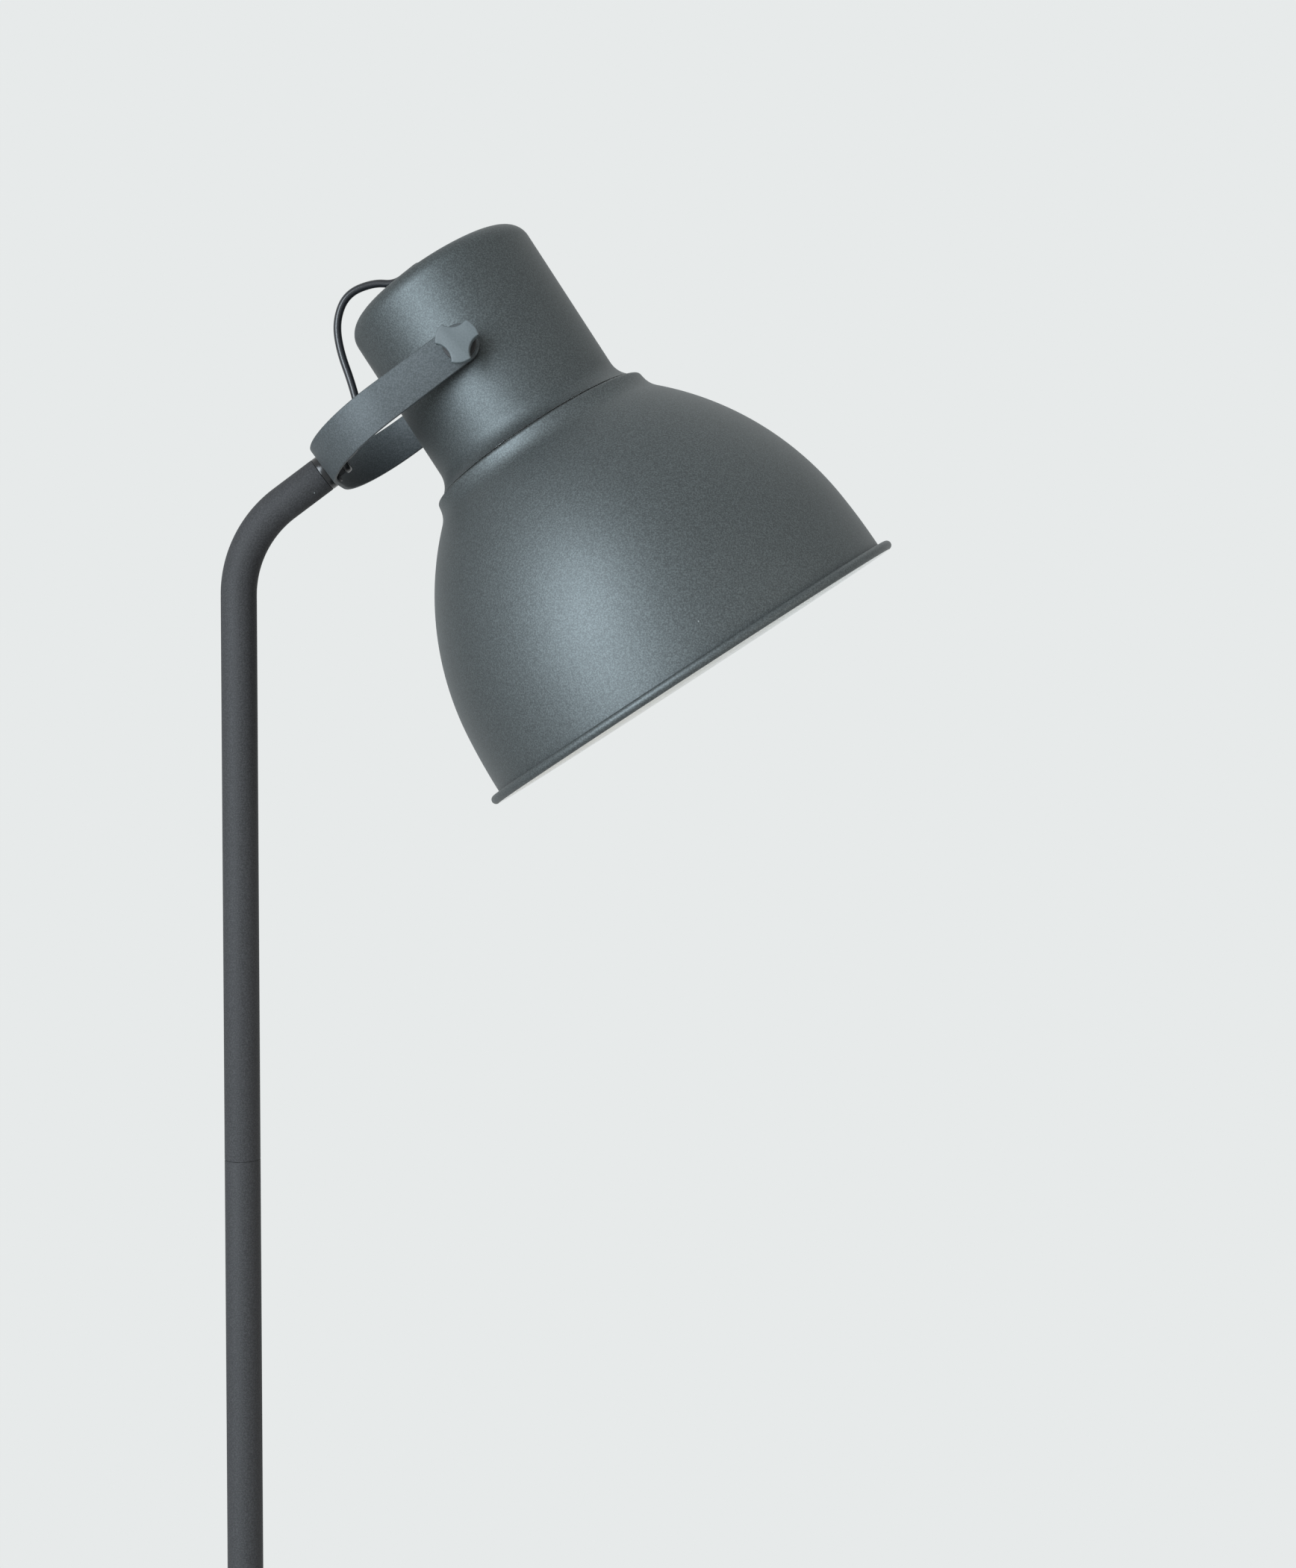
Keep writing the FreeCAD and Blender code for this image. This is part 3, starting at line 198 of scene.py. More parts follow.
# Plain moulded, rubber, plated and cast finishes share one recipe: a colour that varies a little,
# a roughness, and a relief with the grain of how the surface was made.
def makeFinish(name, colour, shift, grain, roughness, relief, metallic=0.0, stretch=(1, 1, 1), **extra):
    material = newMaterial(name)
    coords = addNode(material, "ShaderNodeTexCoord").outputs["Object"]
    mapped = addNode(material, "ShaderNodeMapping", {"Vector": coords}, Scale=stretch)
    noise = addNode(material, "ShaderNodeTexNoise", {"Vector": mapped.outputs["Vector"]},
                    Scale=perMm(grain), Detail=3.0)
    tint = addNode(material, "ShaderNodeMix", {"Factor": noise.outputs["Fac"]}, {"data_type": "RGBA"})
    tint.inputs[6].default_value = linearFromHex(colour)
    tint.inputs[7].default_value = linearFromHex(shift)
    rough = addNode(material, "ShaderNodeMapRange", {"Value": noise.outputs["Fac"]},
                    To_Min=roughness - 0.06, To_Max=roughness + 0.06)
    bump = addNode(material, "ShaderNodeBump", {"Height": noise.outputs["Fac"]},
                   Strength=relief, Distance=0.2 * mm)
    shader = addNode(material, "ShaderNodeBsdfPrincipled", {
        "Base Color": tint.outputs[2], "Roughness": rough.outputs["Result"],
        "Normal": bump.outputs["Normal"]}, Metallic=metallic, **extra)
    return finishMaterial(material, shader)


coat = makePowderCoat("darkGreyPowderCoat", powderCoat)
# the housing and yoke coats are darker copies of the one paint: painted shade
housingShadedCoat = makePowderCoat("shadedDeepGreyPowderCoat", housingShadedPowderCoat)
yokeShadedCoat = makePowderCoat("shadedSatinGreyPowderCoat", yokeShadedPowderCoat)
poleCoat = makePowderCoat("dullGreyPowderCoat", polePowderCoat)
finishes = {
    # white polyester enamel, sprayed inside the shade: smooth, bright, slightly satin
    "whiteEnamel": makeFinish("whiteSprayedEnamel", "#ecebe6", "#f3f2ee", 6, 0.38, 0.05),
    # black nylon, polished mould: a clear glossy edge light
    "glossNylon": makeFinish("glossBlackNylon", "#0b0c0d", "#121315", 1.5, 0.24, 0.03),
    # grey nylon, spark-eroded mould: even, matte, a fine pebble grain
    "greyNylon": makeFinish("matteGreyNylon", "#42494b", "#5c6466", 1.1, 0.55, 0.12),
    # black nylon, lightly textured
    "blackNylon": makeFinish("texturedBlackNylon", "#0d0e0f", "#151617", 0.9, 0.55, 0.1),
    # PVC cable sheath, extruded: smooth, satin, a little oily shine
    "pvcSheath": makeFinish("blackPvcSheath", "#15171a", "#1d1f23", 2.5, 0.3, 0.05),
    # rubber, moulded: dull with dusty patches
    "rubber": makeFinish("mouldedRubber", "#151515", "#242424", 2.2, 0.75, 0.15),
    # bright zinc plate on turned steel: soft, slightly blue metal with fine turning marks
    "zincSteel": makeFinish("zincPlatedSteel", "#a9abad", "#c2c3c4", 0.8, 0.34, 0.05, 1.0, (1, 1, 6)),
    # black oxide on steel hardware at the swivel
    "blackSteel": makeFinish("blackOxideSteel", "#1c1d1f", "#2a2b2d", 0.7, 0.42, 0.06, 0.8),
    # grey iron, sand cast and primed: coarse skin
    "castIron": makeFinish("primedCastIron", "#24262a", "#33353a", 1.6, 0.7, 0.5, 0.2),
    # phenolic lampholder, compression moulded: dark, close and faintly glossy
    "phenolic": makeFinish("blackPhenolic", "#1a1918", "#242220", 1.2, 0.36, 0.05),
    # aluminium cap, rolled thread: pale soft metal
    "capAluminium": makeFinish("rolledAluminium", "#b9babb", "#c9cacb", 0.9, 0.3, 0.05, 1.0),
    # opal glass: milky and smooth
    "opalGlass": makeFinish("opalGlass", "#e9e8e2", "#f2f1ec", 8, 0.16, 0.0, 0.0, (1, 1, 1),
                            Subsurface_Weight=0.2),
}


# Mesh helpers; profiles are lists of (radius, height) in mm

def arcPoints(centre, radius, fromTurn, toTurn, count):
    # Points on an arc, turns in degrees from the profile's radius direction towards its height
    points = []
    for i in range(count + 1):
        turn = math.radians(fromTurn + (toTurn - fromTurn) * i / count)
        points.append((centre[0] + radius * math.cos(turn), centre[1] + radius * math.sin(turn)))
    return points


def roundedBox(inner, outer, low, high, edge, count=4):
    # Closed profile of a ring with rounded outer edges
    return ([(inner, low)]
            + arcPoints((outer - edge, low + edge), edge, -90, 0, count)
            + arcPoints((outer - edge, high - edge), edge, 0, 90, count)
            + [(inner, high)])


def addObject(name, mesh, materials):
    piece = bpy.data.objects.new(name, mesh)
    bpy.context.collection.objects.link(piece)
    for material in materials:
        mesh.materials.append(material)
    return piece


def smoothMesh(mesh, angle=32):
    mesh.shade_smooth()
    mesh.set_sharp_from_angle(angle=math.radians(angle))


def skin(name, rows, materials, joined=False, slots=None, angle=32):
    # A closed surface through rows of points, each row a loop. Its two ends are capped, or joined
    # to each other; slots gives the material number of the faces after each row.
    count = len(rows[0])
    verts = [point for row in rows for point in row]
    pairs = [(k, k + 1) for k in range(len(rows) - 1)] + ([(len(rows) - 1, 0)] if joined else [])
    faces, faceSlots = [], []
    for here, after in pairs:
        for i in range(count):
            j = (i + 1) % count
            faces.append((here * count + i, here * count + j, after * count + j, after * count + i))
            faceSlots.append(slots[here] if slots else 0)
    if not joined:
        faces += [tuple(range(count))[::-1], tuple(range(len(verts) - count, len(verts)))]
        faceSlots += [0, 0]
    mesh = bpy.data.meshes.new(name)
    mesh.from_pydata(verts, [], faces)
    for polygon, slot in zip(mesh.polygons, faceSlots):
        polygon.material_index = slot
    work = bmesh.new()
    work.from_mesh(mesh)
    bmesh.ops.remove_doubles(work, verts=work.verts, dist=1e-7)    # closes the poles on an axis
    bmesh.ops.delete(work, geom=[e for e in work.edges if not e.link_faces], context="EDGES")
    bmesh.ops.recalc_face_normals(work, faces=work.faces)
    work.to_mesh(mesh)
    work.free()
    smoothMesh(mesh, angle)
    return addObject(name, mesh, materials)


def lathe(name, profile, place, materials, segments=128, slots=None):
    # A turned piece from a closed profile
    turns = [2 * math.pi * i / segments for i in range(segments)]
    rows = [[place @ Vector((radius * math.cos(turn) * mm, radius * math.sin(turn) * mm, height * mm))
             for turn in turns] for radius, height in profile]
    return skin(name, rows, materials, True, slots)


def dress(piece, body, slotName, *nodes):
    # The piece takes the place of those solids and moves with their body
    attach(piece, body)
    if nodes:
        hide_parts(*nodes)
    return piece


# Camera: the photograph's own view, fitted to the lamp's outlines
cameraSizes = {"at": (0.2405, -1.4308, 1.4963), "yaw": 1.24, "pitch": 2.106, "lens": 49.96}
cameraData = bpy.data.cameras.new("photoCamera")
cameraData.lens = cameraSizes["lens"]
cameraData.sensor_width = 36
cameraData.dof.use_dof = False
camera = bpy.data.objects.new("photoCamera", cameraData)
bpy.context.collection.objects.link(camera)
yaw, pitch = math.radians(cameraSizes["yaw"]), math.radians(cameraSizes["pitch"])
aim = Vector((-math.sin(yaw) * math.cos(pitch), math.cos(yaw) * math.cos(pitch), -math.sin(pitch)))
camera.location = cameraSizes["at"]
camera.rotation_euler = aim.to_track_quat("-Z", "Y").to_euler()
bpy.context.scene.camera = camera

# Lead from the yoke's bush to the grommet in the housing's top: the route's own points
leadRoute = {
    "diameter": 5.2, "bushFace": 18.5, "straightOut": 13, "steps": 10, "sides": 6,
    "free": ((20.5, 1686), (15.5, 1706), (7.5, 1728), (5.2, 1747), (12, 1764.5), (29.9, 1771.8),
             (44, 1770.5)),
    "overTop": ((-12, 319.5), (-1, 320.4), (0, 314.25)),    # across and up in the head's own frame
    # two places on the route: the end of the yoke's part of the lead and the start of the head's part
    "bendFrom": (11.2, 1691.8), "bendTo": (59.9, 1769.7),
}


def makeHeadLead(values):
    bush = poleEnd + poleAim * values["bushFace"] * mm
    points = [bush, bush + poleAim * values["straightOut"] * mm]
    points += [Vector((x * mm, 0, z * mm)) for x, z in values["free"]]
    points += [headPlace @ Vector((across * mm, 0, up * mm)) for across, up in values["overTop"]]
    curve = bpy.data.curves.new("headLead", "CURVE")
    curve.dimensions = "3D"
    spline = curve.splines.new("NURBS")
    spline.points.add(len(points) - 1)
    for spot, point in zip(spline.points, points):
        spot.co = (*point, 1)
    spline.order_u = 3
    spline.use_endpoint_u = True
    spline.resolution_u = values["steps"]
    centre = bpy.data.objects.new("leadCentre", curve.copy())
    bpy.context.collection.objects.link(centre)
    line = bpy.data.meshes.new_from_object(centre.evaluated_get(bpy.context.evaluated_depsgraph_get()))
    bpy.data.objects.remove(centre)
    curve.bevel_depth = values["diameter"] / 2 * mm
    curve.bevel_resolution = values["sides"]
    curve.use_fill_caps = True
    shape = bpy.data.objects.new("headLeadShape", curve)
    bpy.context.collection.objects.link(shape)
    mesh = bpy.data.meshes.new_from_object(shape.evaluated_get(bpy.context.evaluated_depsgraph_get()))
    bpy.data.objects.remove(shape)
    mesh.name = "headLead"
    mesh.shade_smooth()
    mesh.materials.clear()
    lead = addObject("headLead", mesh, [finishes["pvcSheath"]])
    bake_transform(lead)
    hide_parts("head_cord")
    return lead


makeHeadLead(leadRoute)
print("camera and lead made")

# Shade: spun steel bell, dark outside, white inside, with a rolled rim
shadeSizes = {
    "wall": 1.2, "rim": 152, "bead": 3, "skirt": 147.53, "skirtDrop": 2.2, "skirtSweep": 424,
    "skirtTurn": 6.23, "crownSweep": 204, "crownTurn": 45.8, "neckSweep": 18, "collarLean": 10,
    "collarEdge": 2, "seam": 182.4, "throat": 50, "lip": 2.2,
    "beadTurn": 148,     # degrees, where the bead meets the skirt
    "gap": 0.2,          # the shade's share of the dark line between it and the housing
}


def shadeProfile(values, inset):
    # One side of the sheet from the rim to the collar's edge; inset is how far inside it lies
    skirtCentre = (values["skirt"] - values["skirtSweep"], -values["skirtDrop"])
    points = arcPoints(skirtCentre, values["skirtSweep"] - inset, 0.5, values["skirtTurn"], 8)
    turn = math.radians(values["skirtTurn"])
    step = values["skirtSweep"] - values["crownSweep"]
    crownCentre = (skirtCentre[0] + step * math.cos(turn), skirtCentre[1] + step * math.sin(turn))
    points += arcPoints(crownCentre, values["crownSweep"] - inset, values["skirtTurn"],
                        values["crownTurn"], 30)[1:]
    turn = math.radians(values["crownTurn"])
    reach = values["crownSweep"] + values["neckSweep"]
    neckCentre = (crownCentre[0] + reach * math.cos(turn), crownCentre[1] + reach * math.sin(turn))
    points += arcPoints(neckCentre, values["neckSweep"] + inset, 180 + values["crownTurn"],
                        180 + values["collarLean"], 6)[1:]
    collar = math.radians(values["collarLean"])
    foot = (neckCentre[0] - values["neckSweep"] * math.cos(collar),
            neckCentre[1] - values["neckSweep"] * math.sin(collar))
    edgeHeight = values["seam"] - values["gap"] - values["collarEdge"]
    edgeRadius = foot[0] - (edgeHeight - foot[1]) * math.tan(collar)
    points += arcPoints((edgeRadius - values["collarEdge"], edgeHeight), values["collarEdge"] - inset,
                        0, 90, 5)
    return points


def makeShade(values):
    outside = shadeProfile(values, 0)
    inside = shadeProfile(values, values["wall"])
    bead = (values["rim"], 0)
    rim = values["skirt"] - values["wall"]
    lip = arcPoints((rim + values["lip"], values["lip"] - values["bead"]), values["lip"], 180, 270, 5)
    roll = arcPoints(bead, values["bead"], -90, values["beadTurn"], 18)
    profile = ([(values["throat"], values["seam"] - values["wall"])] + inside[::-1]
               + lip + roll + outside + [(values["throat"], values["seam"] - values["gap"])])
    whiteSides = len(inside) + len(lip) + 1    # the white runs over the lip to the bead's lowest line
    slots = [1 if k < whiteSides else 0 for k in range(len(profile))]
    shade = lathe("shadeShell", profile, headPlace, [coat, finishes["whiteEnamel"]], 224, slots)
    return dress(shade, "head", "shade_steel", "shade")


makeShade(shadeSizes)

# Housing: drawn steel can with a flared foot, a rounded top edge and a low dome
housingSizes = {
    "radius": 66.5, "wall": 1.5, "flare": 18.4, "flareHeight": 15.9, "seam": 182.4, "height": 309,
    "corner": 12.5, "dome": 3, "hole": 4.5,
    "gap": 1.2,          # the housing's share of the dark line above the shade
}


def housingProfile(values, inset):
    straight = values["seam"] + values["flareHeight"]
    flareCentre = (values["radius"] + values["flare"], straight)
    flare = values["flare"] + inset
    footTurn = math.degrees(math.asin((values["flareHeight"] - values["gap"]) / flare))
    points = arcPoints(flareCentre, flare, 180 + footTurn, 180, 12)
    flat = values["radius"] - values["corner"]
    points += arcPoints((flat, values["height"] - values["corner"]), values["corner"] - inset, 0, 88, 10)
    dome = (flat ** 2 + values["dome"] ** 2) / (2 * values["dome"])
    centre = (0, values["height"] + values["dome"] - dome)
    edgeTurn = math.degrees(math.acos(flat / (dome - inset)))
    holeTurn = math.degrees(math.acos(values["hole"] / (dome - inset)))
    points += arcPoints(centre, dome - inset, edgeTurn, holeTurn, 10)
    return points


def makeHousing(values):
    outside = housingProfile(values, 0)
    inside = housingProfile(values, values["wall"])
    slots = [0] * len(outside) + [1] * len(inside)
    housing = lathe("housingCan", outside + inside[::-1], headPlace,
                    [housingShadedCoat, finishes["whiteEnamel"]], 160, slots)
    return dress(housing, "head", "painted_steel", "housing")


makeHousing(housingSizes)
print("shade and housing made")

# Yoke: flat steel strip, bent into a U, with round ends and soft edges
yokeSizes = {
    "outer": 75, "wall": 2.4, "corner": 58, "base": 4.4, "reach": 118, "baseHalf": 13.25, "armHalf": 12.5,
    "edge": 0.7,
}


def yokePath(values):
    # Points of the strip's middle line as (side, along), from one arm's end to the other, and the
    # direction of each point's outward normal
    half = values["wall"] / 2
    line = values["outer"] - half
    pivotAlong = values["base"] + values["reach"]
    bendCentre = (values["outer"] - values["corner"], values["base"] + values["corner"])
    bend = values["corner"] - half
    points = []
    tipAlong = pivotAlong + values["armHalf"]
    for i in range(11):
        points.append(((line, tipAlong + (pivotAlong - tipAlong) * math.sin(math.pi / 2 * i / 10)), (1, 0)))
    for i in range(1, 9):
        points.append(((line, pivotAlong + (bendCentre[1] - pivotAlong) * i / 8), (1, 0)))
    for i in range(1, 25):
        turn = math.radians(-90 * i / 24)
        points.append(((bendCentre[0] + bend * math.cos(turn), bendCentre[1] + bend * math.sin(turn)),
                       (math.cos(turn), math.sin(turn))))
    for i in range(1, 4):
        points.append(((bendCentre[0] * (1 - i / 3), values["base"] + half), (0, -1)))
    mirrored = [((-x, z), (-nx, nz)) for (x, z), (nx, nz) in points[-2::-1]]
    return points + mirrored


def makeYoke(values):
    half, edge = values["wall"] / 2, values["edge"]
    pivotAlong = values["base"] + values["reach"]
    rows = []
    for (side, along), (normalSide, normalAlong) in yokePath(values):
        share = min(max((along - values["base"]) / values["reach"], 0), 1)
        width = values["baseHalf"] + (values["armHalf"] - values["baseHalf"]) * share
        if along > pivotAlong:
            width = math.sqrt(max(values["armHalf"] ** 2 - (along - pivotAlong) ** 2, 0))
        width = max(width, edge * 1.05)
        # the strip's section here: a rectangle with rounded corners
        section = []
        for x, lift, start in ((width - edge, half - edge, 0), (edge - width, half - edge, 90),
                               (edge - width, edge - half, 180), (width - edge, edge - half, 270)):
            section += arcPoints((x, lift), edge, start, start + 90, 3)
        rows.append([endPlace @ Vector((x * mm, (side + normalSide * lift) * mm,
                                        (along + normalAlong * lift) * mm)) for x, lift in section])
    return dress(skin("yokeStrip", rows, [yokeShadedCoat], angle=40), "yoke_arm", "painted_steel", "yoke")


makeYoke(yokeSizes)

# Swivel ring at the pole's end: glossy black nylon
ringSizes = {"inner": 5.1, "outer": 11.75, "thickness": 4.4, "edge": 0.5}
dress(lathe("swivelRing", roundedBox(ringSizes["inner"], ringSizes["outer"], 0, ringSizes["thickness"],
                                     ringSizes["edge"]), endPlace, [finishes["glossNylon"]], 96),
      "stand", "black_plastic", "swivel_ring")

# Bush in the yoke's base, where the lead comes out: a wide black nylon collar with a round edge
bushSizes = {"bore": 2.7, "stem": 3.95, "stemEnd": 6, "outer": 9.25, "back": 14, "front": 18.5,
             "edge": 0.4, "round": 2.5}


def makeLeadBush(values):
    outer, edge, soft = values["outer"], values["edge"], values["round"]
    profile = [(values["bore"], values["stemEnd"]), (values["stem"], values["stemEnd"]),
               (values["stem"], values["back"])]
    profile += arcPoints((outer - edge, values["back"] + edge), edge, -90, 0, 3)
    profile += arcPoints((outer - soft, values["front"] - soft), soft, 0, 90, 6)
    profile += [(values["bore"] + edge, values["front"]), (values["bore"], values["front"] - edge)]
    bush = lathe("leadBush", profile, endPlace, [finishes["glossNylon"]], 72)
    return dress(bush, "stand", "black_plastic", "cable_bush")


makeLeadBush(bushSizes)

# Hand knobs: three lobes with scallops between them, on a hub, in front of a small dark disc
knobSizes = {
    "radius": 13.8, "spread": 53.2, "angle": 41, "scallop": 11, "back": 81, "front": 88, "edge": 0.9,
    "hub": 8.5, "hubEdge": 0.5, "hubOverlap": 0.2,
    "disc": 10.6, "discBack": 75.05, "discFront": 77, "bore": 3.1,
}


def knobOutline(values, inset):
    points = []
    lobe = values["radius"] - inset
    half = values["spread"] / 2
    gapHalf = (120 - values["spread"]) / 2
    chord = values["radius"] * math.sin(math.radians(gapHalf))
    centreOut = (values["radius"] * math.cos(math.radians(gapHalf))
                 + math.sqrt(values["scallop"] ** 2 - chord ** 2))
    scallop = values["scallop"] + inset
    for k in range(3):
        middle = values["angle"] + 120 * k
        # where the inset lobe arc and the inset scallop arc cross
        cosine = (lobe ** 2 + centreOut ** 2 - scallop ** 2) / (2 * lobe * centreOut)
        reach = 60 - math.degrees(math.acos(min(cosine, 1)))
        points += arcPoints((0, 0), lobe, middle - reach, middle + reach, 10)
        gap = math.radians(middle + 60)
        centre = (centreOut * math.cos(gap), centreOut * math.sin(gap))
        start = points[-1]
        turnFrom = math.degrees(math.atan2(start[1] - centre[1], start[0] - centre[0]))
        swing = 2 * ((middle + 60 + 180 - turnFrom + 180) % 360 - 180)
        points += arcPoints(centre, scallop, turnFrom, turnFrom + swing, 12)[1:-1]
    return points


def makeKnob(side, values):
    place = sidePlace(side)
    edge = values["edge"]
    # the plate's side, as (inset, height) from its back face to its front face
    layers = [(edge - x, values["back"] + edge + z) for x, z in arcPoints((0, 0), edge, -90, 0, 4)]
    layers += [(edge - x, values["front"] - edge + z) for x, z in arcPoints((0, 0), edge, 0, 90, 4)]
    rows = [[place @ Vector((x * mm, y * mm, height * mm)) for x, y in knobOutline(values, inset)]
            for inset, height in layers]
    knob = skin(side + "Knob", rows, [finishes["greyNylon"]], angle=40)
    dress(knob, side + "_knob_body", "knob_plastic", side + "_knob")
    # the hub's front end lies a little inside the plate
    hubBox = roundedBox(values["bore"], values["hub"], values["discFront"],
                        values["back"] + values["hubOverlap"], values["hubEdge"])
    hub = lathe(side + "KnobHub", hubBox, place, [finishes["blackNylon"]], 64)
    dress(hub, side + "_knob_body", "knob_plastic", side + "_knob")
    discBox = roundedBox(values["bore"], values["disc"], values["discBack"], values["discFront"],
                         values["hubEdge"])
    disc = lathe(side + "KnobDisc", discBox, place, [finishes["blackNylon"]], 96)
    dress(disc, side + "_knob_body", "black_plastic", side + "_washer")


for side in ("near", "far"):
    makeKnob(side, knobSizes)
print("yoke, swivel ring and knobs made")

# Pole: three steel tubes with broken edges, so that each joint shows as a fine line
poleSizes = {
    "outer": 11.75, "bore": 10.25, "edge": 0.5, "foot": 30, "section": 582, "upperStraight": 373.8,
    "bend": 75, "rise": 36.5, "endStraight": 31.6,
}


def tubeProfile(values, low, high):
    outer, edge = values["outer"], values["edge"]
    return ([(values["bore"], low)] + arcPoints((outer - edge, low + edge), edge, -90, 0, 3)
            + arcPoints((outer - edge, high - edge), edge, 0, 90, 3) + [(values["bore"], high)])


def makeStraightPoles(values):
    low = values["foot"]
    for name, node in (("lowerTube", "lower_pole"), ("middleTube", "middle_pole")):
        high = low + values["section"]
        tube = lathe(name, tubeProfile(values, low, high), polePlace, [poleCoat], 64)
        dress(tube, "stand", "painted_steel", node)
        low = high
    return low


def makeBentPole(values, start):
    # Rings along straight, bend and straight end; each is (x, z, lean of the axis, radius)
    outer, edge, bend = values["outer"], values["edge"], values["bend"]
    top = start + values["upperStraight"]
    turn = math.radians(90 - values["rise"])
    outside = [(0, start + edge + z, 0, outer - edge + x) for x, z in arcPoints((0, 0), edge, -90, 0, 3)]
    for i in range(37):
        lean = turn * i / 36
        outside.append((bend * (1 - math.cos(lean)), top + bend * math.sin(lean), lean, outer))
    x, z = outside[-1][:2]
    for inward, rise in arcPoints((0, 0), edge, 0, 90, 3):
        along = values["endStraight"] - edge + rise
        outside.append((x + along * math.sin(turn), z + along * math.cos(turn), turn,
                        outer - edge + inward))
    inside = [(x, z, lean, values["bore"]) for x, z, lean, radius in outside]
    rings = outside + [inside[-1]] + inside[-5:3:-1] + [inside[0]]
    rows = []
    for x, z, lean, radius in rings:
        row = []
        for i in range(64):
            spin = 2 * math.pi * i / 64
            across = radius * math.cos(spin)
            row.append(Vector(((x + across * math.cos(lean)) * mm + poleX, radius * math.sin(spin) * mm,
                               (z - across * math.sin(lean)) * mm)))
        rows.append(row)
    piece = skin("upperTube", rows, [poleCoat], joined=True)
    return dress(piece, "stand", "painted_steel", "upper_pole")


makeBentPole(poleSizes, makeStraightPoles(poleSizes))
print("pole made")

# Base: pressed cover with a rounded shoulder, flange, and parts under it
baseSizes = {"radius": 150, "height": 27, "hem": 2, "wall": 1.2, "corner": 8}
flangeSizes = {"radius": 32, "low": 27, "high": 30, "edge": 0.8, "bore": 6.5,
               "spigot": 10.2, "spigotTop": 62}    # the spigot stands inside the lowest tube


def makeBaseCover(values):
    radius, wall, corner = values["radius"], values["wall"], values["corner"]
    profile = [(0, values["height"] - wall)]
    profile += arcPoints((radius - corner, values["height"] - corner), corner - wall, 90, 0, 8)
    profile += [(radius - wall, values["hem"])]
    profile += arcPoints((radius - wall / 2, values["hem"] + wall / 2), wall / 2, -90, 0, 3)
    profile += arcPoints((radius - corner, values["height"] - corner), corner, 0, 90, 10)
    profile += [(0, values["height"])]
    cover = lathe("baseCover", profile, basePlace, [coat], 192)
    return dress(cover, "stand", "painted_steel", "base_cover")


makeBaseCover(baseSizes)


def makeFlange(values):
    profile = [(values["bore"], values["low"]), (values["radius"], values["low"])]
    profile += arcPoints((values["radius"] - values["edge"], values["high"] - values["edge"]),
                         values["edge"], 0, 90, 4)
    profile += [(values["spigot"], values["high"]), (values["spigot"], values["spigotTop"]),
                (values["bore"], values["spigotTop"])]
    return dress(lathe("footFlange", profile, polePlace, [coat], 96), "stand", "painted_steel",
                 "foot_plate")


makeFlange(flangeSizes)


# Rings of like pieces: one node tree puts a copy at each place round a circle

ringSets = {
    "footScrews": {"copies": 3, "circle": 23.5, "height": 30},
    "basePads": {"copies": 5, "circle": 120, "height": 0},
    "shadeScrews": {"copies": 3, "circle": 57, "height": 181.2},
}
screwSizes = {
    "footScrews": {"head": 4.75, "headHeight": 2.75, "socket": 1.7, "shank": 2.5, "length": 13, "up": 1},
    "shadeScrews": {"head": 3.8, "headHeight": 2.5, "socket": 1.4, "shank": 2, "length": 7, "up": -1},
}
padSizes = {"radius": 9, "height": 3, "edge": 0.8}


def ringTree():
    tree = bpy.data.node_groups.new("copiesRoundACircle", "GeometryNodeTree")
    face = tree.interface
    face.new_socket("Geometry", in_out="INPUT", socket_type="NodeSocketGeometry")
    inputs = {
        "Piece": "NodeSocketObject", "Copies": "NodeSocketInt", "Circle radius": "NodeSocketFloat",
        "First turn": "NodeSocketFloat", "Finish": "NodeSocketMaterial",
    }
    for label, kind in inputs.items():
        face.new_socket(label, in_out="INPUT", socket_type=kind)
    face.new_socket("Geometry", in_out="OUTPUT", socket_type="NodeSocketGeometry")
    nodes, links = tree.nodes, tree.links
    given = nodes.new("NodeGroupInput")
    result = nodes.new("NodeGroupOutput")
    circle = nodes.new("GeometryNodeMeshCircle")
    links.new(given.outputs["Copies"], circle.inputs["Vertices"])
    links.new(given.outputs["Circle radius"], circle.inputs["Radius"])
    spin = nodes.new("ShaderNodeCombineXYZ")
    links.new(given.outputs["First turn"], spin.inputs["Z"])
    turn = nodes.new("GeometryNodeTransform")
    links.new(circle.outputs["Mesh"], turn.inputs["Geometry"])
    links.new(spin.outputs["Vector"], turn.inputs["Rotation"])
    source = nodes.new("GeometryNodeObjectInfo")
    links.new(given.outputs["Piece"], source.inputs["Object"])
    copies = nodes.new("GeometryNodeInstanceOnPoints")
    links.new(turn.outputs["Geometry"], copies.inputs["Points"])
    links.new(source.outputs["Geometry"], copies.inputs["Instance"])
    real = nodes.new("GeometryNodeRealizeInstances")
    links.new(copies.outputs["Instances"], real.inputs["Geometry"])
    paint = nodes.new("GeometryNodeSetMaterial")
    links.new(real.outputs["Geometry"], paint.inputs["Geometry"])
    links.new(given.outputs["Finish"], paint.inputs["Material"])
    links.new(paint.outputs["Geometry"], result.inputs["Geometry"])
    return tree


copiesTree = ringTree()


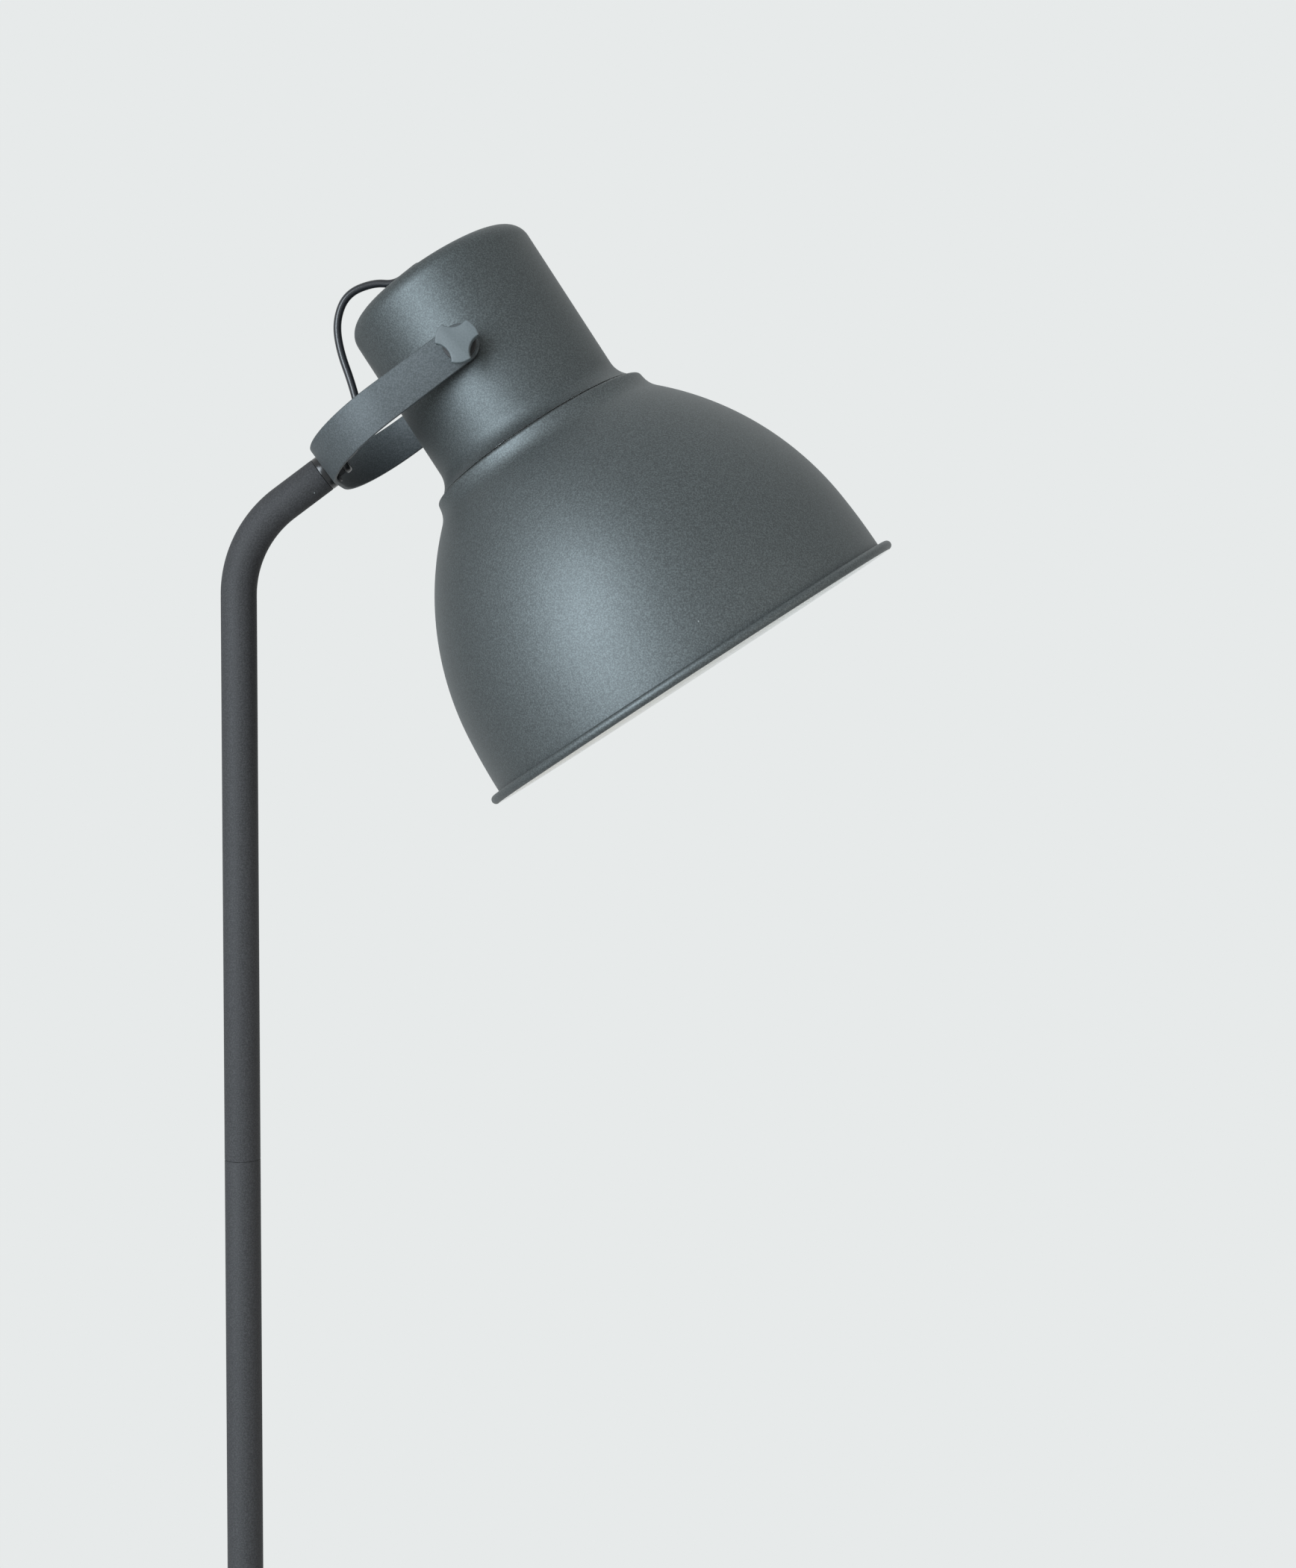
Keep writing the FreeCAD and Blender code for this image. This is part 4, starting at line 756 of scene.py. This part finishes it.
def ringOfCopies(name, master, values, place, finish):
    # One mesh of the copies round a circle in the place's own frame; the master goes
    holder = addObject(name + "Maker", bpy.data.meshes.new(name + "Maker"), [])
    modifier = holder.modifiers.new("copies", "NODES")
    modifier.node_group = copiesTree
    wanted = {"Piece": master, "Copies": values["copies"], "Circle radius": values["circle"] * mm,
              "First turn": 0.0, "Finish": finish}
    for item in copiesTree.interface.items_tree:
        if item.in_out == "INPUT" and item.name in wanted:
            modifier[item.identifier] = wanted[item.name]
    evaluated = holder.evaluated_get(bpy.context.evaluated_depsgraph_get())
    mesh = bpy.data.meshes.new_from_object(evaluated)
    mesh.name = name
    holder.modifiers.remove(modifier)
    bpy.data.objects.remove(holder)
    bpy.data.objects.remove(master)
    mesh.transform(place @ Matrix.Translation((0, 0, values["height"] * mm)))
    smoothMesh(mesh, 35)
    return addObject(name, mesh, [])


def screwMaster(name, values):
    # Round-headed screw with a socket, its seat at height 0; up is -1 for one that hangs
    head, headHeight, socket, shank = (values[key] for key in ("head", "headHeight", "socket", "shank"))
    profile = [(0, -values["length"]), (shank - 0.4, -values["length"]),
               (shank, 0.4 - values["length"]), (shank, 0), (head - 0.2, 0), (head, 0.3)]
    profile += [(head - 0.35 * headHeight * (i / 6) ** 2,
                 0.3 + (headHeight - 0.3) * math.sin(math.pi / 2 * i / 6)) for i in range(1, 7)]
    profile += [(socket, headHeight), (socket * 0.96, headHeight * 0.35), (0, headHeight * 0.3)]
    return lathe(name, [(r, z * values["up"]) for r, z in profile], Matrix.Identity(4), [], 24)


def padOutline(values):
    inner = values["radius"] - values["edge"]
    return ([(0, 0)] + arcPoints((inner, values["edge"]), values["edge"], -90, 0, 4)
            + [(values["radius"], values["height"]), (0, values["height"])])


footScrews = ringOfCopies("footScrews", screwMaster("footScrew", screwSizes["footScrews"]),
                          ringSets["footScrews"], polePlace, finishes["blackSteel"])
dress(footScrews, "stand", "zinc_steel", "foot_screws")
padMaster = lathe("pad", padOutline(padSizes), Matrix.Identity(4), [], 40)
basePads = ringOfCopies("basePads", padMaster, ringSets["basePads"], basePlace, finishes["rubber"])
dress(basePads, "stand", "pad_rubber", "base_pads")
middlePad = lathe("middlePad", padOutline(padSizes), basePlace, [finishes["rubber"]], 40)
dress(middlePad, "stand", "pad_rubber", "base_pads")
shadeScrews = ringOfCopies("shadeScrews", screwMaster("shadeScrew", screwSizes["shadeScrews"]),
                           ringSets["shadeScrews"], headPlace, finishes["zincSteel"])
dress(shadeScrews, "head", "zinc_steel", "shade_screws")
print("base and rings of screws made")

# Bulb: opal glass bulb and a threaded cap under the lampholder
bulbSizes = {"ball": 30, "centre": 155.6, "neck": 12.15, "rise": 48, "capTop": 233.6, "cap": 13.2,
             "capFoot": 208.6, "pitch": 3.6, "thread": 0.5}


def makeBulb(values):
    ball, neck = values["ball"], values["neck"]
    waist = (neck ** 2 + values["rise"] ** 2 - ball ** 2) / (2 * (ball - neck))
    turn = math.degrees(math.acos((neck + waist) / (ball + waist)))
    profile = [(0, values["centre"] - ball)] + arcPoints((0, values["centre"]), ball, -88, turn, 36)
    top = values["centre"] + values["rise"]
    profile += arcPoints((neck + waist, top), waist, 180 + turn, 180, 14)[1:]
    profile += [(neck, values["capFoot"] + 6), (0, values["capFoot"] + 6)]
    glass = lathe("bulbGlass", profile, headPlace, [finishes["opalGlass"]], 96)
    dress(glass, "head", "opal_glass", "bulb_glass")
    profile = [(0, values["capFoot"] + 1), (values["cap"] - 0.6, values["capFoot"])]
    steps = 48
    threadTop = values["capTop"] - 4
    for i in range(steps + 1):
        height = values["capFoot"] + 0.6 + (threadTop - values["capFoot"] - 0.6) * i / steps
        wave = 0.5 - 0.5 * math.cos(2 * math.pi * (height - values["capFoot"]) / values["pitch"])
        profile.append((values["cap"] - values["thread"] * wave, height))
    profile += [(values["cap"] * 0.5, values["capTop"] - 0.3), (4, values["capTop"]), (0, values["capTop"])]
    cap = lathe("bulbCap", profile, headPlace, [finishes["capAluminium"]], 72)
    dress(cap, "head", "aluminium_cap", "bulb_cap")


makeBulb(bulbSizes)

# The other solids keep their own shape and get their real finish
nodeFinish = {
    "base_weight": "castIron", "base_gland": "rubber", "lower_joiner": "zincSteel",
    "upper_joiner": "zincSteel", "pole_end_plug": "zincSteel", "swivel_tube": "blackSteel",
    "swivel_washer": "blackSteel", "swivel_nut": "blackSteel", "top_grommet": "rubber",
    "clamp_ring": "zincSteel", "inner_bracket": "zincSteel", "lamp_nipple": "zincSteel",
    "nipple_nut": "zincSteel", "lampholder": "phenolic", "bracket_nuts": "zincSteel",
    "near_spacer": "blackNylon", "near_stud": "zincSteel", "far_spacer": "blackNylon",
    "far_stud": "zincSteel", "pole_cord": "pvcSheath", "inner_lead": "pvcSheath",
}
for node, finish in nodeFinish.items():
    for slot in frame["nodes"][node].material_slots:
        slot.material = finishes[finish]
print("finishes given")

# Studio: a large soft window light at the left front, weak fill, pale floor and surround
studio = {
    "surround": "#e7eaea", "floor": "#e2e4e4", "ambient": 0.6, "ambientTint": "#f4f7fb",
    "floorHalf": 30,               # m, so that its far edge lies at the horizon
    "shadowReach": (0.3, 1.0),     # m from the lamp, over which the lit floor turns into the surround
}
softLights = {    # places in m, power in W
    "windowLeft": {"at": (-1.3, -2.05, 1.7), "target": (0.15, 0, 1.58), "size": (1.15, 2.3),
                   "power": 103, "tint": "#ebf6ff"},
    "fillRight": {"at": (2.6, -1.6, 1.7), "target": (0.2, 0, 1.5), "size": (1.6, 2.2),
                  "power": 12, "tint": "#fff8ef"},
    "topSoft": {"at": (0.4, 0.9, 3.6), "target": (0.2, 0, 1.5), "size": (2.2, 2.2),
                "power": 5, "tint": "#ffffff"},
}


def makeSoftLight(name, values):
    data = bpy.data.lights.new(name, "AREA")
    data.shape = "RECTANGLE"
    data.size, data.size_y = values["size"]
    data.energy = values["power"]
    data.color = linearFromHex(values["tint"])[:3]
    light = bpy.data.objects.new(name, data)
    bpy.context.collection.objects.link(light)
    light.location = values["at"]
    aim = Vector(values["target"]) - Vector(values["at"])
    light.rotation_euler = aim.to_track_quat("-Z", "Y").to_euler()
    light.visible_camera = False


def seenDirectly(owner):
    # 1 for what the camera sees, also by reflection or through glass
    rays = addNode(owner, "ShaderNodeLightPath").outputs
    straight = addNode(owner, "ShaderNodeMath",
                       {0: rays["Is Camera Ray"], 1: rays["Is Transmission Ray"]},
                       {"operation": "MAXIMUM"})
    either = addNode(owner, "ShaderNodeMath", {0: straight.outputs[0], 1: rays["Is Glossy Ray"]},
                     {"operation": "MAXIMUM"})
    return either.outputs[0]


def makeSurround(values):
    world = bpy.data.worlds.new("paleStudio")
    world.use_nodes = True
    bpy.context.scene.world = world
    world.node_tree.nodes.remove(world.node_tree.nodes["Background"])
    lit = addNode(world, "ShaderNodeBackground", Color=linearFromHex(values["ambientTint"]),
                  Strength=values["ambient"])
    shown = addNode(world, "ShaderNodeBackground", Color=linearFromHex(values["surround"]))
    mixed = addNode(world, "ShaderNodeMixShader",
                    {0: seenDirectly(world), 1: lit.outputs[0], 2: shown.outputs[0]})
    world.node_tree.links.new(mixed.outputs[0], world.node_tree.nodes["World Output"].inputs["Surface"])


def makeFloor(values):
    # Smooth painted board near the lamp, where its shadow falls; further off it shows the surround
    material = newMaterial("paleBoard")
    coords = addNode(material, "ShaderNodeTexCoord").outputs["Object"]
    distance = addNode(material, "ShaderNodeVectorMath", {0: coords}, {"operation": "LENGTH"})
    nearEdge, farEdge = values["shadowReach"]
    beyond = addNode(material, "ShaderNodeMapRange", {"Value": distance.outputs["Value"]},
                     {"interpolation_type": "SMOOTHSTEP"}, From_Min=nearEdge, From_Max=farEdge)
    noise = addNode(material, "ShaderNodeTexNoise", {"Vector": coords}, Scale=perMm(40), Detail=3.0)
    rough = addNode(material, "ShaderNodeMapRange", {"Value": noise.outputs["Fac"]},
                    To_Min=0.75, To_Max=0.9)
    board = addNode(material, "ShaderNodeBsdfPrincipled", {"Roughness": rough.outputs["Result"]},
                    Base_Color=linearFromHex(values["floor"]))
    shown = addNode(material, "ShaderNodeEmission", Color=linearFromHex(values["surround"]))
    share = addNode(material, "ShaderNodeMath",
                    {0: beyond.outputs["Result"], 1: seenDirectly(material)},
                    {"operation": "MULTIPLY"})
    mixed = addNode(material, "ShaderNodeMixShader",
                    {0: share.outputs[0], 1: board.outputs[0], 2: shown.outputs[0]})
    finishMaterial(material, mixed)
    half = values["floorHalf"]
    mesh = bpy.data.meshes.new("studioFloor")
    mesh.from_pydata([(-half, -half, 0), (half, -half, 0), (half, half, 0), (-half, half, 0)], [],
                     [(0, 1, 2, 3)])
    addObject("studioFloor", mesh, [material])


makeSurround(studio)
makeFloor(studio)
for name, values in softLights.items():
    makeSoftLight(name, values)
print("studio made")

bpy.context.scene.view_settings.view_transform = "Standard"
